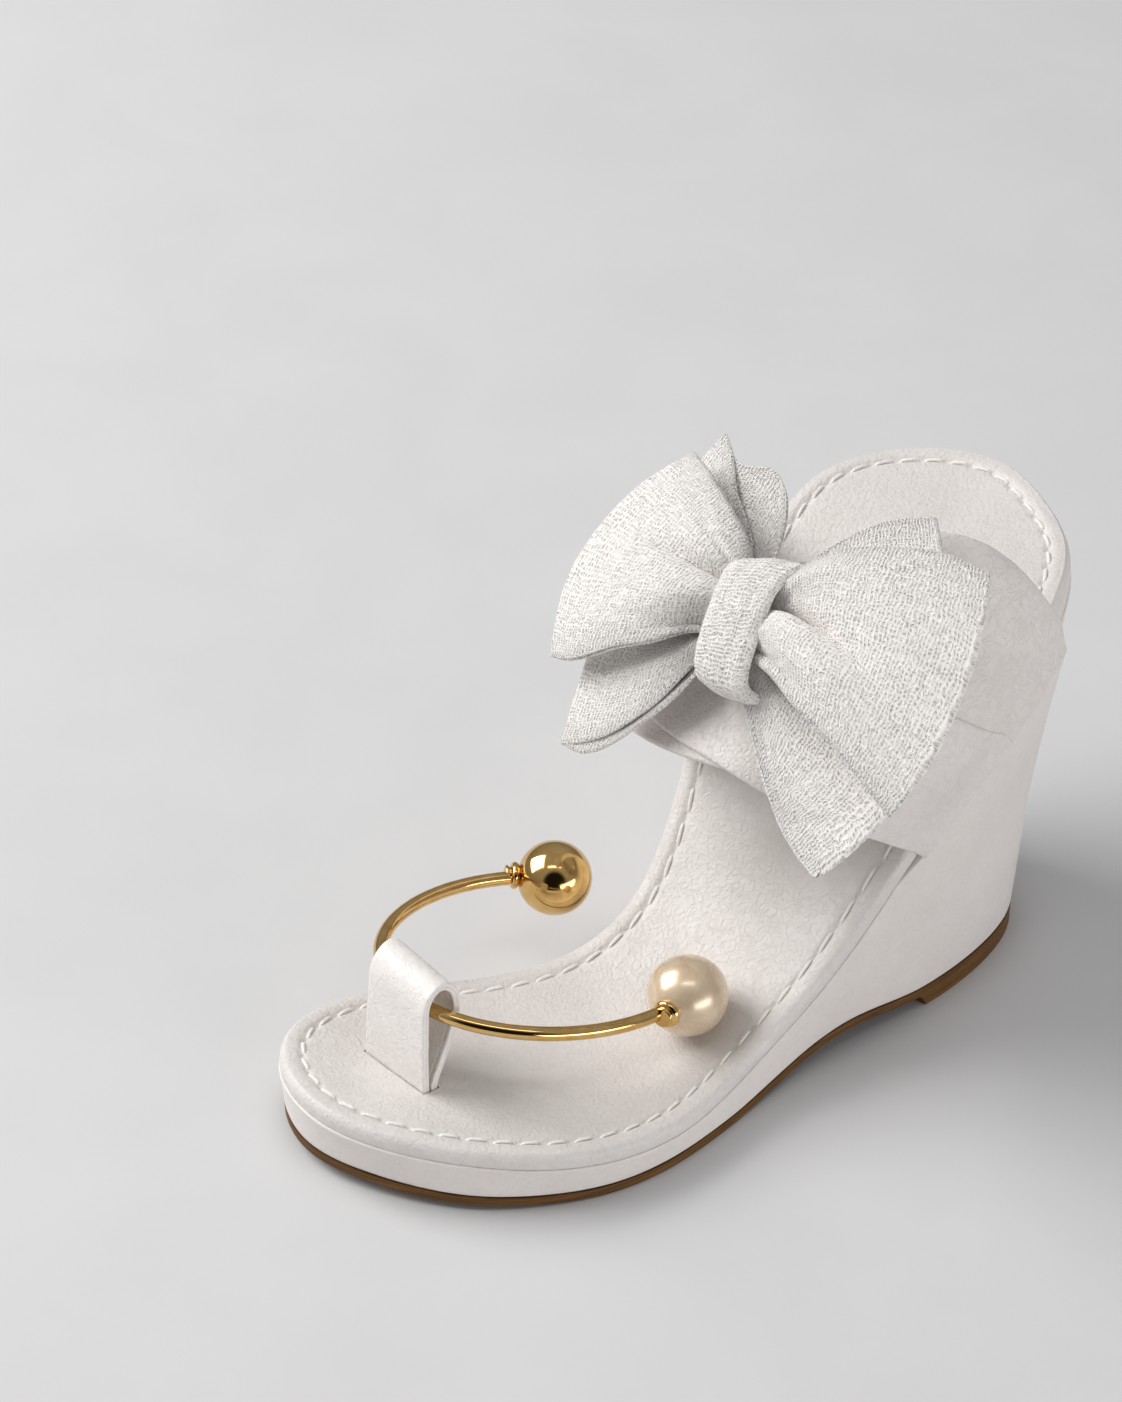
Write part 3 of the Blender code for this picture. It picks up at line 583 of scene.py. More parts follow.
def build_insole():
    footbed = edge_loop(FOOTBED_OUTLINE, BED_MIDDLE, FOOTBED_ROWS)
    normal = outward(footbed)
    thick = insole_depth(footbed[:, 0])
    _, along, pitch = seam_path()
    phase = along[:-1] / pitch
    from_hole = (phase - np.round(phase)) * pitch
    pucker = np.exp(-((from_hole / PUCKER_LONG) ** 2))
    rings = []
    for turn in np.linspace(-RIM_TURN, RIM_TURN, RIM_LEVELS):
        inset = (RIM_ROUND if turn > 0 else RIM_UNDER) * (1 - math.cos(turn))
        share = (1 - math.sin(turn) / math.sin(RIM_TURN)) / 2
        rings.append(bed_points(footbed - normal * inset, 0.0, thick * share))
    for inset in TOP_RINGS:
        groove = np.exp(-(((inset - SEAM_IN) / GROOVE_WIDE) ** 2))
        puff = PUFF_HIGH * math.exp(-(((inset - PUFF_IN) / PUFF_WIDE) ** 2))
        depth = groove * (GROOVE_DEEP + PUCKER_DEEP * pucker) - puff * (1 - PUFF_PINCH * pucker)
        rings.append(bed_points(footbed - normal * inset, bed_crown(inset), depth))

    def crown(there):
        chunks = np.array_split(there, 12)
        away = [np.linalg.norm(chunk[:, None] - footbed, axis=2).min(axis=1) for chunk in chunks]
        return bed_crown(np.concatenate(away))

    def underside(there):
        return bed_points(there, crown(there), insole_depth(there[:, 0]))

    def topside(there):
        return bed_points(there, crown(there), 0.0)

    turned_in = RIM_UNDER * (1 - math.cos(RIM_TURN))
    below = filled(footbed - normal * turned_in, INSOLE_ACROSS, underside)
    above = filled(footbed - normal * TOP_RINGS[-1], INSOLE_ACROSS, topside)
    points, faces = layered(rings, below, above)
    cover = leather_finish("insole_leather", INSOLE_TINTS, grain=0.13, crease=0.1, roughness=0.42)
    cut_slit(add_piece("insole_cover", points, faces, cover, "sandal", ["insole"]))


def cut_slit(insole):
    """Cuts the slit for the toe loop right into the wrapped board."""
    floor_of_slit = bed_height(LOOP_BASE[1])[0] - BED_DISH - SLIT_DEPTH
    knife = bpy.data.meshes.new("slit_knife")
    body = bmesh.new()
    bmesh.ops.create_cube(body, size=1.0)
    body.to_mesh(knife)
    body.free()
    cutter = bpy.data.objects.new("slit_knife", knife)
    size = [MM * value for value in (LOOP_WIDTH + 2 * SLIT_GAP, SLIT_WIDTH, 2 * SLIT_OPEN)]
    place = [MM * value for value in (LOOP_BASE[0], -LOOP_BASE[1], floor_of_slit + SLIT_OPEN)]
    knife.transform(Matrix.LocRotScale(Vector(place), Matrix.Rotation(LOOP_YAW, 3, "Z"), Vector(size)))
    bpy.context.scene.collection.objects.link(cutter)
    cut = insole.modifiers.new("slit", "BOOLEAN")
    cut.operation = "DIFFERENCE"
    cut.solver = "EXACT"
    cut.object = cutter
    bpy.context.view_layer.update()
    graph = bpy.context.evaluated_depsgraph_get()
    done = bpy.data.meshes.new_from_object(insole.evaluated_get(graph))
    insole.modifiers.clear()
    insole.data = done
    bpy.data.objects.remove(cutter)


def thread_finish():
    """White sewing thread with the twist of its plies."""
    material, tree, shader, place = new_finish("stitch_thread", 0.6, Sheen_Weight=0.3)
    twist = noise(tree, stretched(tree, place, 1.4, 2.2, 2.2), 1.8, 3.0, 0.6)
    colour = blend_colour(tree, ramp(tree, twist, 0.3, 0.7), tint(252, 250, 247), tint(240, 236, 231))
    dress(tree, shader, colour, bump(tree, twist, 0.6, 0.12))
    return material


def build_stitches():
    seam, along, pitch = seam_path()
    reach = np.linspace(-1, 1, STITCH_STATIONS)
    rise = STITCH_RISE * (1 - reach**4) - STITCH_DIVE * reach**4
    taper = np.sqrt(np.maximum(1 - np.abs(reach) ** 5, 0.02))
    points, faces = [], []

    def seam_at(distance):
        distance = np.mod(distance, along[-1])
        return np.column_stack([np.interp(distance, along, seam[:, axis]) for axis in (0, 1)])

    for k in range(round(along[-1] / pitch)):
        distance = (k + 0.5) * pitch + reach * pitch * STITCH_SHARE / 2
        way = unit(seam_at(distance + SEAM_STEP) - seam_at(distance - SEAM_STEP))
        side = np.column_stack([-way[:, 1], way[:, 0]])
        plan = seam_at(distance) + side * (reach * STITCH_SLANT)[:, None]
        first = k * STITCH_STATIONS * STITCH_TURNS
        for j in range(STITCH_TURNS):
            turn = 2 * math.pi * j / STITCH_TURNS
            there = plan + side * (STITCH_WIDE * taper * math.cos(turn))[:, None]
            depth = GROOVE_DEEP - rise - STITCH_HIGH * taper * math.sin(turn)
            points.append(bed_points(there, bed_crown(SEAM_IN), depth))
            a, b = first + j * STITCH_STATIONS, first + (j + 1) % STITCH_TURNS * STITCH_STATIONS
            faces += [[a + i, a + i + 1, b + i + 1, b + i] for i in range(STITCH_STATIONS - 1)]
        ends = range(first, first + STITCH_STATIONS * STITCH_TURNS, STITCH_STATIONS)
        faces += [list(ends), [start + STITCH_STATIONS - 1 for start in ends]]
    add_piece("insole_stitches", np.vstack(points), faces, thread_finish(), "sandal")


build_insole()
build_stitches()

# ---------------------------------------------------------------------------------------------
# Upper. Two bands of soft white leather with turned edges, crossed over the instep and joined
# where they cross. Their four feet are glued down between the insole and the wedge, so the rear
# band comes from the heel's outer side and the front band lies over it.
BAND_THICK = 1.6
SKIN_THICK = 1.45
FOOT_RISE = 0.5
FOOT_SINK = 0.5
FOOT_STAND = 1.3
FOOT_BLEND = 0.07
FOOT_STEPS = 5
CROSSING_START = 0.08
CROSSING_BLEND = 0.16
BAND_ROWS = 110
BAND_COLUMNS = 30
ROW_EVENNESS = 0.8
EDGE_STEPS = 5
NUDGE = 0.01
ARCH_SECTIONS = (
    # back, outer foot, inner foot, crown forward, crown height, outer and inner bulge, squareness
    (0.0, 34.0, 38.0, 68.6, 79.1, 0.3, 9.7, 0.93),
    (0.5, 11.0, 19.0, 55.0, 90.4, 7.4, 7.5, 0.78),
    (1.0, -12.0, 0.0, 21.4, 128.0, 4.1, 4.2, 0.8),
)
UNDER_BAND = {
    # over the foot from its outer side, front edge, rear edge
    "edges": ((0.0, 0.34, 1.0), (0.3, 0.2, 1.0), (0.5, 0.0, 0.84), (0.7, 0.0, 0.54), (1.0, 0.0, 0.5)),
    # how far it lies off the arch at its feet, over the foot and at the crossing
    "lifts": (0.2, 0.0, -0.1),
    # over, back, length over, width back, height
    "creases": (
        (0.10, 0.78, 0.16, 0.05, -0.35), (0.16, 0.62, 0.12, 0.05, 0.3), (0.22, 0.9, 0.14, 0.04, -0.3),
        (0.06, 0.9, 0.08, 0.05, 0.3), (0.85, 0.3, 0.14, 0.05, -0.3), (0.3, 0.75, 0.12, 0.06, 0.25),
    ),
}
OVER_BAND = {
    "edges": (
        (0.0, 0.0, 0.47), (0.15, 0.0, 0.575), (0.3, 0.0, 0.63), (0.5, 0.1, 0.76), (0.7, 0.3, 0.9),
        (1.0, 0.48, 1.0),
    ),
    "lifts": (0.6, 0.95, 1.5),
    "creases": (
        (0.08, 0.12, 0.12, 0.05, -0.22), (0.15, 0.3, 0.14, 0.06, 0.2), (0.24, 0.1, 0.1, 0.04, 0.2),
        (0.9, 0.7, 0.12, 0.06, -0.25), (0.8, 0.6, 0.14, 0.05, 0.22),
    ),
}
REAR_TINTS = ((232, 226, 222), (226, 220, 216))
FRONT_TINTS = ((232, 226, 223), (227, 221, 217))


def foot_places(forward, side):
    """Middle of a band's wall at the footbed's edge. side is 1 at the outer side, -1 at the inner."""
    across = sides(FOOTBED_OUTLINE, forward)[0 if side == 1 else 1]
    stand = np.maximum(strap_ledge(forward, side), FOOT_STAND) - BAND_THICK / 2
    return np.column_stack([across + side * stand, -forward, bed_height(forward) + FOOT_RISE])


def arch_points(back, over):
    """Points on the bands' shared arched surface over the instep."""
    place = columns(ARCH_SECTIONS, back).T
    outer_foot, inner_foot, crown_forward, crown_height, outer_bulge, inner_bulge, square = place
    outer, inner = foot_places(outer_foot, 1), foot_places(inner_foot, -1)
    middle = (outer + inner) / 2
    crown = np.column_stack([middle[:, 0], -crown_forward, crown_height])
    turn = math.pi * over
    across = np.sign(np.cos(turn)) * np.abs(np.cos(turn)) ** square
    up = np.abs(np.sin(turn)) ** square
    point = middle + (outer - inner) / 2 * across[:, None] + (crown - middle) * up[:, None]
    point[:, 0] += outer_bulge * np.sin(turn) * (1 + np.cos(turn)) / 2
    point[:, 0] -= inner_bulge * np.sin(turn) * (1 - np.cos(turn)) / 2
    return point


def foot_row(row):
    """The lower end of a band's wall, square to the bed, down in the crease of insole and wedge."""
    forward = -row[:, 1]
    slope, scale = bed_slope(forward)
    depth = insole_depth(forward) + FOOT_SINK
    height = bed_height(forward) - depth * scale
    return np.column_stack([row[:, 0], row[:, 1] - depth * slope * scale, height])


def band_surface(band):
    """Rows of points on a band's middle surface, from its outer foot to its inner one."""
    share = np.arange(BAND_ROWS + 1) / BAND_ROWS
    overs = (1 - np.cos(math.pi * share)) / 2 * (1 - ROW_EVENNESS) + ROW_EVENNESS * share
    front, rear = columns(band["edges"], overs).T
    spread = np.arange(BAND_COLUMNS + 1) / BAND_COLUMNS
    back = (front[:, None] + (rear - front)[:, None] * spread).ravel()
    over = np.repeat(overs, BAND_COLUMNS + 1)
    here = arch_points(back, over)
    ahead = arch_points(back + NUDGE, over) - arch_points(back - NUDGE, over)
    side = arch_points(back, np.minimum(over + NUDGE, 1)) - arch_points(back, np.maximum(over - NUDGE, 0))
    normal = unit(np.cross(ahead, side))
    inward = np.minimum(over, 1 - over)
    at_feet, over_foot, at_crossing = band["lifts"]
    rise = at_feet + (over_foot - at_feet) * smooth_step(inward / FOOT_BLEND)
    rise += (at_crossing - over_foot) * smooth_step((inward - CROSSING_START) / CROSSING_BLEND)
    for crease_over, crease_back, long, wide, high in band["creases"]:
        off = ((over - crease_over) / long) ** 2 + ((back - crease_back) / wide) ** 2
        rise = rise + high * np.exp(-off)
    grid = (here + normal * rise[:, None]).reshape(BAND_ROWS + 1, BAND_COLUMNS + 1, 3)
    feet = []
    for row in (grid[0], grid[-1]):
        drop = foot_row(row) - row
        feet.append(np.stack([row + drop * step / FOOT_STEPS for step in range(FOOT_STEPS, 0, -1)]))
    return np.concatenate([feet[0], grid, feet[1][::-1]])


def strip_solid(grid, thickness):
    """A strip of some thickness round a grid of points, its long edges rounded, its ends closed."""
    rows, width = grid.shape[:2]
    along, across = np.gradient(grid, axis=0), np.gradient(grid, axis=1)
    normal, across = unit(np.cross(along, across)), unit(across)
    half = thickness / 2
    turns = math.pi * np.arange(1, EDGE_STEPS) / EDGE_STEPS

    def rounded(column, side):
        ways = [normal[:, column] * math.cos(turn) + across[:, column] * math.sin(turn) for turn in turns]
        return [grid[:, column] + side * half * way for way in ways]

    ring = [grid[:, k] + normal[:, k] * half for k in range(width)] + rounded(-1, 1)
    ring += [grid[:, k] - normal[:, k] * half for k in range(width - 1, -1, -1)] + rounded(0, -1)
    points = np.stack(ring, axis=1)
    count = points.shape[1]
    faces = side_faces(rows, count)
    for start in (0, (rows - 1) * count):
        back = start + 2 * width + EDGE_STEPS - 2
        for k in range(width - 1):
            faces.append([start + k, start + k + 1, back - k - 1, back - k])
        faces.append([start + width - 1 + k for k in range(EDGE_STEPS + 1)])
        faces.append([back + k for k in range(EDGE_STEPS)] + [start])
    return points.reshape(-1, 3), faces


def build_band(name, band, leather):
    points, faces = strip_solid(band_surface(band), SKIN_THICK)
    add_piece(name, points, faces, leather, "sandal", ["upper"])


rear_leather = leather_finish("rear_band_leather", REAR_TINTS, grain=0.16, crease=0.2, roughness=0.5)
front_leather = leather_finish("front_band_leather", FRONT_TINTS, grain=0.18, crease=0.14, roughness=0.44)
build_band("under_band", UNDER_BAND, rear_leather)
build_band("over_band", OVER_BAND, front_leather)

# ---------------------------------------------------------------------------------------------
# Toe loop. A strip of doubled white leather folded over the ring, smooth on its face, with the
# two plies showing as a fine line along the cut edges. Its ends are glued in the insole's slit.
LOOP_THICK = 1.9
LOOP_TWIST = 0.0033
LOOP_ROWS = 150
LOOP_TINTS = ((244, 240, 237), (240, 236, 232))
LOOP_PROFILE = (
    # forward, height, measured from the middle of the slit
    (1.15, -2.7), (1.15, 3.0), (0.9, 12.0), (0.4, 20.4), (-1.2, 26.6), (-4.4, 28.3),
    (-7.6, 26.2), (-8.9, 21.6), (-8.1, 15.9), (-5.5, 9.7), (-2.6, 4.0), (-1.15, 0.2),
    (-1.15, -2.7),
)
CORNER_ROUND = 0.4
PLY_NOTCH = 0.22
PLY_LINE = 0.16
FACE_COLUMNS = 24
EDGE_LINE_IN = 1.3
EDGE_LINE_DEEP = 0.1
EDGE_LINE_WIDE = 0.12
EDGE_LINE_STEP = 0.15


def loop_section():
    """The strip's cross-section: (across, out) from one edge to the other and back."""
    half_wide, half_thick = LOOP_WIDTH / 2, LOOP_THICK / 2
    inner = half_wide - CORNER_ROUND
    line_at = half_wide - EDGE_LINE_IN
    steps = (-EDGE_LINE_STEP, 0, EDGE_LINE_STEP)
    face = np.linspace(-inner, inner, FACE_COLUMNS + 1)
    face = np.sort(np.append(face, [side * (line_at + step) for side in (-1, 1) for step in steps]))
    line = np.exp(-(((np.abs(face) - line_at) / EDGE_LINE_WIDE) ** 2)) * EDGE_LINE_DEEP
    top = [(across, half_thick - sink) for across, sink in zip(face, line)]
    edge = []
    for turn in np.linspace(0, math.pi / 2, ROLL_STEPS)[1:]:
        drop = CORNER_ROUND * (1 - math.cos(turn))
        edge.append((inner + CORNER_ROUND * math.sin(turn), half_thick - drop))
    edge.append((half_wide, PLY_LINE))
    edge.append((half_wide - PLY_NOTCH, 0.0))
    edge += [(across, -out) for across, out in reversed(edge[:-1])]
    under = [(across, -half_thick) for across in face[::-1]]
    return top + edge + under + [(-across, -out) for across, out in edge]


def loop_place(forward, across, height):
    """A place in the toe loop's own frame, in the shoe's. The loop twists a little as it rises."""
    forward = forward + LOOP_TWIST * across * np.maximum(height, 0.0)
    x = LOOP_BASE[0] + across * math.cos(LOOP_YAW) + forward * math.sin(LOOP_YAW)
    y = -LOOP_BASE[1] + across * math.sin(LOOP_YAW) - forward * math.cos(LOOP_YAW)
    return np.column_stack([x, y, bed_height(LOOP_BASE[1])[0] - BED_DISH + height])


def build_toe_loop():
    table = np.array(LOOP_PROFILE, float)
    knots = run_length(table)
    middle = spline(knots, table, np.linspace(0, knots[-1], LOOP_ROWS))
    along = np.gradient(middle, axis=0)
    normal = unit(np.column_stack([-along[:, 1], along[:, 0]]))
    section = loop_section()
    lines = []
    for across, out in section:
        there = middle + normal * out
        lines.append(loop_place(there[:, 0], np.full(LOOP_ROWS, across), there[:, 1]))
    points = np.stack(lines, axis=1)
    count = len(section)
    faces = side_faces(LOOP_ROWS, count) + end_faces(LOOP_ROWS, count)
    points = points.reshape(-1, 3)
    strip = leather_finish("toe_loop_leather", LOOP_TINTS, grain=0.07, crease=0.1, roughness=0.4)
    add_piece("toe_loop_strip", points, faces, strip, "sandal", ["toe_loop"])


build_toe_loop()

# ---------------------------------------------------------------------------------------------
# Toe ring. An open cuff bent from polished gold-plated tube, pushed through the toe loop so that
# it swings there. Each open end is soldered into a small turned collar with two flares.
RING_CENTRE = (-19.2, 96.7, 28.15)
RING_HALF_WIDTH = 31.4
RING_HALF_LENGTH = 39.2
RING_PITCH = math.radians(-10.7)
RING_YAW = math.radians(-17.2)
RING_START = math.radians(-117.5)
RING_END = math.radians(126.8)
TUBE_RADIUS = 1.65
TUBE_TURNS = 28
TUBE_ROWS = 260
COLLAR_LENGTH = 3.4
COLLAR_TURNS = 56
COLLAR_ROWS = 60
BALL_SEAT = 0.35
TUBE_IN_COLLAR = 0.6
RING_SAMPLES = 1200
ANGLE_STEP = 0.01
COLLAR_PROFILE = (
    # radius, distance towards the ball
    (1.5, 0.0), (1.9, 0.0), (2.25, 0.1), (2.4, 0.4), (2.3, 0.72), (2.05, 0.92), (1.98, 1.12),
    (2.2, 1.34), (2.75, 1.55), (3.12, 1.9), (3.25, 2.35), (3.12, 2.8), (2.75, 3.15), (2.3, 3.4),
    (1.5, 3.42),
)


def ring_point(angle):
    """A point on the ring's centre line. The angle is 0 at the toe loop, positive to the outer side."""
    pitch_way = np.array([0, math.cos(RING_PITCH), math.sin(RING_PITCH)])
    side_way = np.array([1.0, 0, 0])
    across = side_way * math.cos(RING_YAW) + pitch_way * math.sin(RING_YAW)
    along = -side_way * math.sin(RING_YAW) + pitch_way * math.cos(RING_YAW)
    centre = np.array([RING_CENTRE[0], -RING_CENTRE[1], RING_CENTRE[2]])
    sweep = RING_HALF_WIDTH * np.sin(angle) * across - RING_HALF_LENGTH * np.cos(angle) * along
    return centre + sweep


def node_middle(name):
    low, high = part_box(name)
    return (np.array(low) + np.array(high)) / 2 / MM


def turned(profile, start, way, turns):
    """Points and faces turned round an axis from (radius, distance) pairs, closed at both ends."""
    side = np.cross(way, (0, 0, 1))
    side /= np.linalg.norm(side)
    up = np.cross(side, way)
    angles = 2 * math.pi * np.arange(turns) / turns
    round_way = np.cos(angles)[:, None] * side + np.sin(angles)[:, None] * up
    points = np.vstack([start + way * out + radius * round_way for radius, out in profile])
    return points, side_faces(len(profile), turns) + end_faces(len(profile), turns)


def gold_finish():
    material, tree, shader, place = new_finish("polished_gold_plate", 0.1, Metallic=1.0)
    haze = noise(tree, place, 0.25, 4.0, 0.4)
    colour = blend_colour(tree, ramp(tree, haze, 0.35, 0.7), tint(226, 188, 124), tint(212, 171, 104))
    scratch = noise(tree, stretched(tree, place, 1.0, 4.0, 4.0), 1.6, 5.0, 0.3)
    relief = bump(tree, scratch, 0.12, 0.02)
    dress(tree, shader, colour, relief, ramp(tree, haze, 0.3, 0.75, 0.06, 0.14))
    return material


def ball_direction(name, angle, sign):
    """Middle of a ball, and the unit direction out of the ring's end into it."""
    step = sign * ANGLE_STEP
    way = ring_point(angle + step) - ring_point(angle - step)
    return node_middle(name), way / np.linalg.norm(way)


def ball_radius(name):
    low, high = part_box(name)
    return (high[2] - low[2]) / 2 / MM


def build_ring():
    gold = gold_finish()
    trims = []
    for collar, ball, angle, sign in (
        ("collar_gold", "ball_gold", RING_START, -1), ("collar_pearl", "ball_pearl", RING_END, 1)
    ):
        middle, way = ball_direction(ball, angle, sign)
        reach = ball_radius(ball) - BALL_SEAT + COLLAR_LENGTH
        fine = np.array(COLLAR_PROFILE)
        knots = np.arange(len(fine))
        profile = spline(knots[1:-1], fine[1:-1], np.linspace(1, len(fine) - 2, COLLAR_ROWS))
        profile = np.vstack([fine[:1], profile, fine[-1:]])
        points, faces = turned(profile, middle - way * reach, way, COLLAR_TURNS)
        add_piece(f"turned_{collar}", points, faces, gold, "cuff", [collar])
        trims.append(reach - TUBE_IN_COLLAR)
    angles = np.linspace(RING_START, RING_END, RING_SAMPLES)
    line = np.array([ring_point(angle) for angle in angles])
    length = run_length(line)
    stations = np.linspace(trims[0], length[-1] - trims[1], TUBE_ROWS)
    path = np.column_stack([np.interp(stations, length, line[:, axis]) for axis in range(3)])
    front, outer, inner = [ring_point(angle) for angle in (0.0, 1.5, -1.5)]
    flat = unit(np.cross(front - outer, front - inner))
    side = np.cross(unit(np.gradient(path, axis=0)), flat)
    turns = 2 * math.pi * np.arange(TUBE_TURNS) / TUBE_TURNS
    rings = path[:, None] + TUBE_RADIUS * (
        np.cos(turns)[None, :, None] * side[:, None] + np.sin(turns)[None, :, None] * flat
    )
    faces = side_faces(TUBE_ROWS, TUBE_TURNS) + end_faces(TUBE_ROWS, TUBE_TURNS)
    add_piece("ring_tube", rings.reshape(-1, 3), faces, gold, "cuff", ["toe_ring"])
    return gold


ring_gold = build_ring()

# ---------------------------------------------------------------------------------------------
# Ball ends. The inner end carries a hollow ball of polished gold-plated metal and the outer end
# a champagne pearl bead. Each is drilled on one side, countersunk and glued over its collar.
BALL_TURNS = 72
BALL_ROWS = 48
HOLE_RADIUS = 1.5
COUNTERSINK = 0.25
SEAT_DEPTH = 1.6
SEAT_NARROW = 0.9
POLE_GAP = 0.02


def drilled_ball(radius):
    """A ball's profile from the bottom of its drilled seat, over the seat's rim, to the far pole."""
    seat = math.asin((HOLE_RADIUS + COUNTERSINK) / radius)
    turn = np.linspace(seat, math.pi - POLE_GAP, BALL_ROWS)
    arc = np.column_stack([radius * np.sin(turn), radius * (1 - np.cos(turn))])
    hole = [(HOLE_RADIUS * SEAT_NARROW, SEAT_DEPTH), (HOLE_RADIUS, arc[0, 1] + COUNTERSINK)]
    return np.vstack([hole, arc])


def pearl_finish():
    material, tree, shader, place = new_finish(
        "champagne_pearl", 0.22, Metallic=0.35, Specular_IOR_Level=0.6, Coat_Weight=0.9, Coat_Roughness=0.2,
    )
    cloud = noise(tree, place, 0.14, 4.0, 0.8)
    fleck = noise(tree, place, 1.3, 3.0, 0.4)
    colour = blend_colour(tree, ramp(tree, cloud, 0.35, 0.7), tint(225, 203, 174), tint(208, 184, 153))
    colour = blend_colour(tree, ramp(tree, fleck, 0.55, 0.75, 0.0, 0.15), colour, tint(220, 199, 177))
    relief = bump(tree, fleck, 0.1, 0.03)
    dress(tree, shader, colour, relief, ramp(tree, cloud, 0.3, 0.7, 0.24, 0.34))
    return material


def build_balls():
    for ball, angle, sign, material, slot_name in (
        ("ball_gold", RING_START, -1, ring_gold, "polished_gold"),
        ("ball_pearl", RING_END, 1, pearl_finish(), "pearl"),
    ):
        middle, way = ball_direction(ball, angle, sign)
        radius = ball_radius(ball)
        points, faces = turned(drilled_ball(radius), middle - way * radius, way, BALL_TURNS)
        add_piece(f"drilled_{ball}", points, faces, material, "cuff", [ball])


build_balls()

# ---------------------------------------------------------------------------------------------
# Bow loops. A double bow of off-white crinkled cotton gauze with soft turned edges: two big front
# loops folded at their outer ends and pleated into the knot, over two wider back loops.
BOW_UP = np.array([0, 0.754, 0.657])
BOW_AWAY = np.array([0, -0.657, 0.754])
BOW_OUT = np.array([1.0, 0, 0])
BOW_FROM_KNOT = np.array([-1.0, -1.684, -2.083])
bow_middle = node_middle("bow_knot") + BOW_FROM_KNOT
GAUZE_THICK = 0.95
LOOP_STEPS = 60
LOOP_ACROSS = 100
FOLD_STEPS = 9
CROWN_FADE = 0.8
PLEAT_FREE = 0.16
CRINKLE = 0.14
CLOTH_UNIT = 100.0
WEFT_LOW = 0.76
EDGE_CLOSE = 1.45
PLEAT_START = 0.2
PLEAT_IN_KNOT = 0.3
TUCK_START = 0.1
BULGE_LATE = 2.6
STEPS_LATE = 1.15
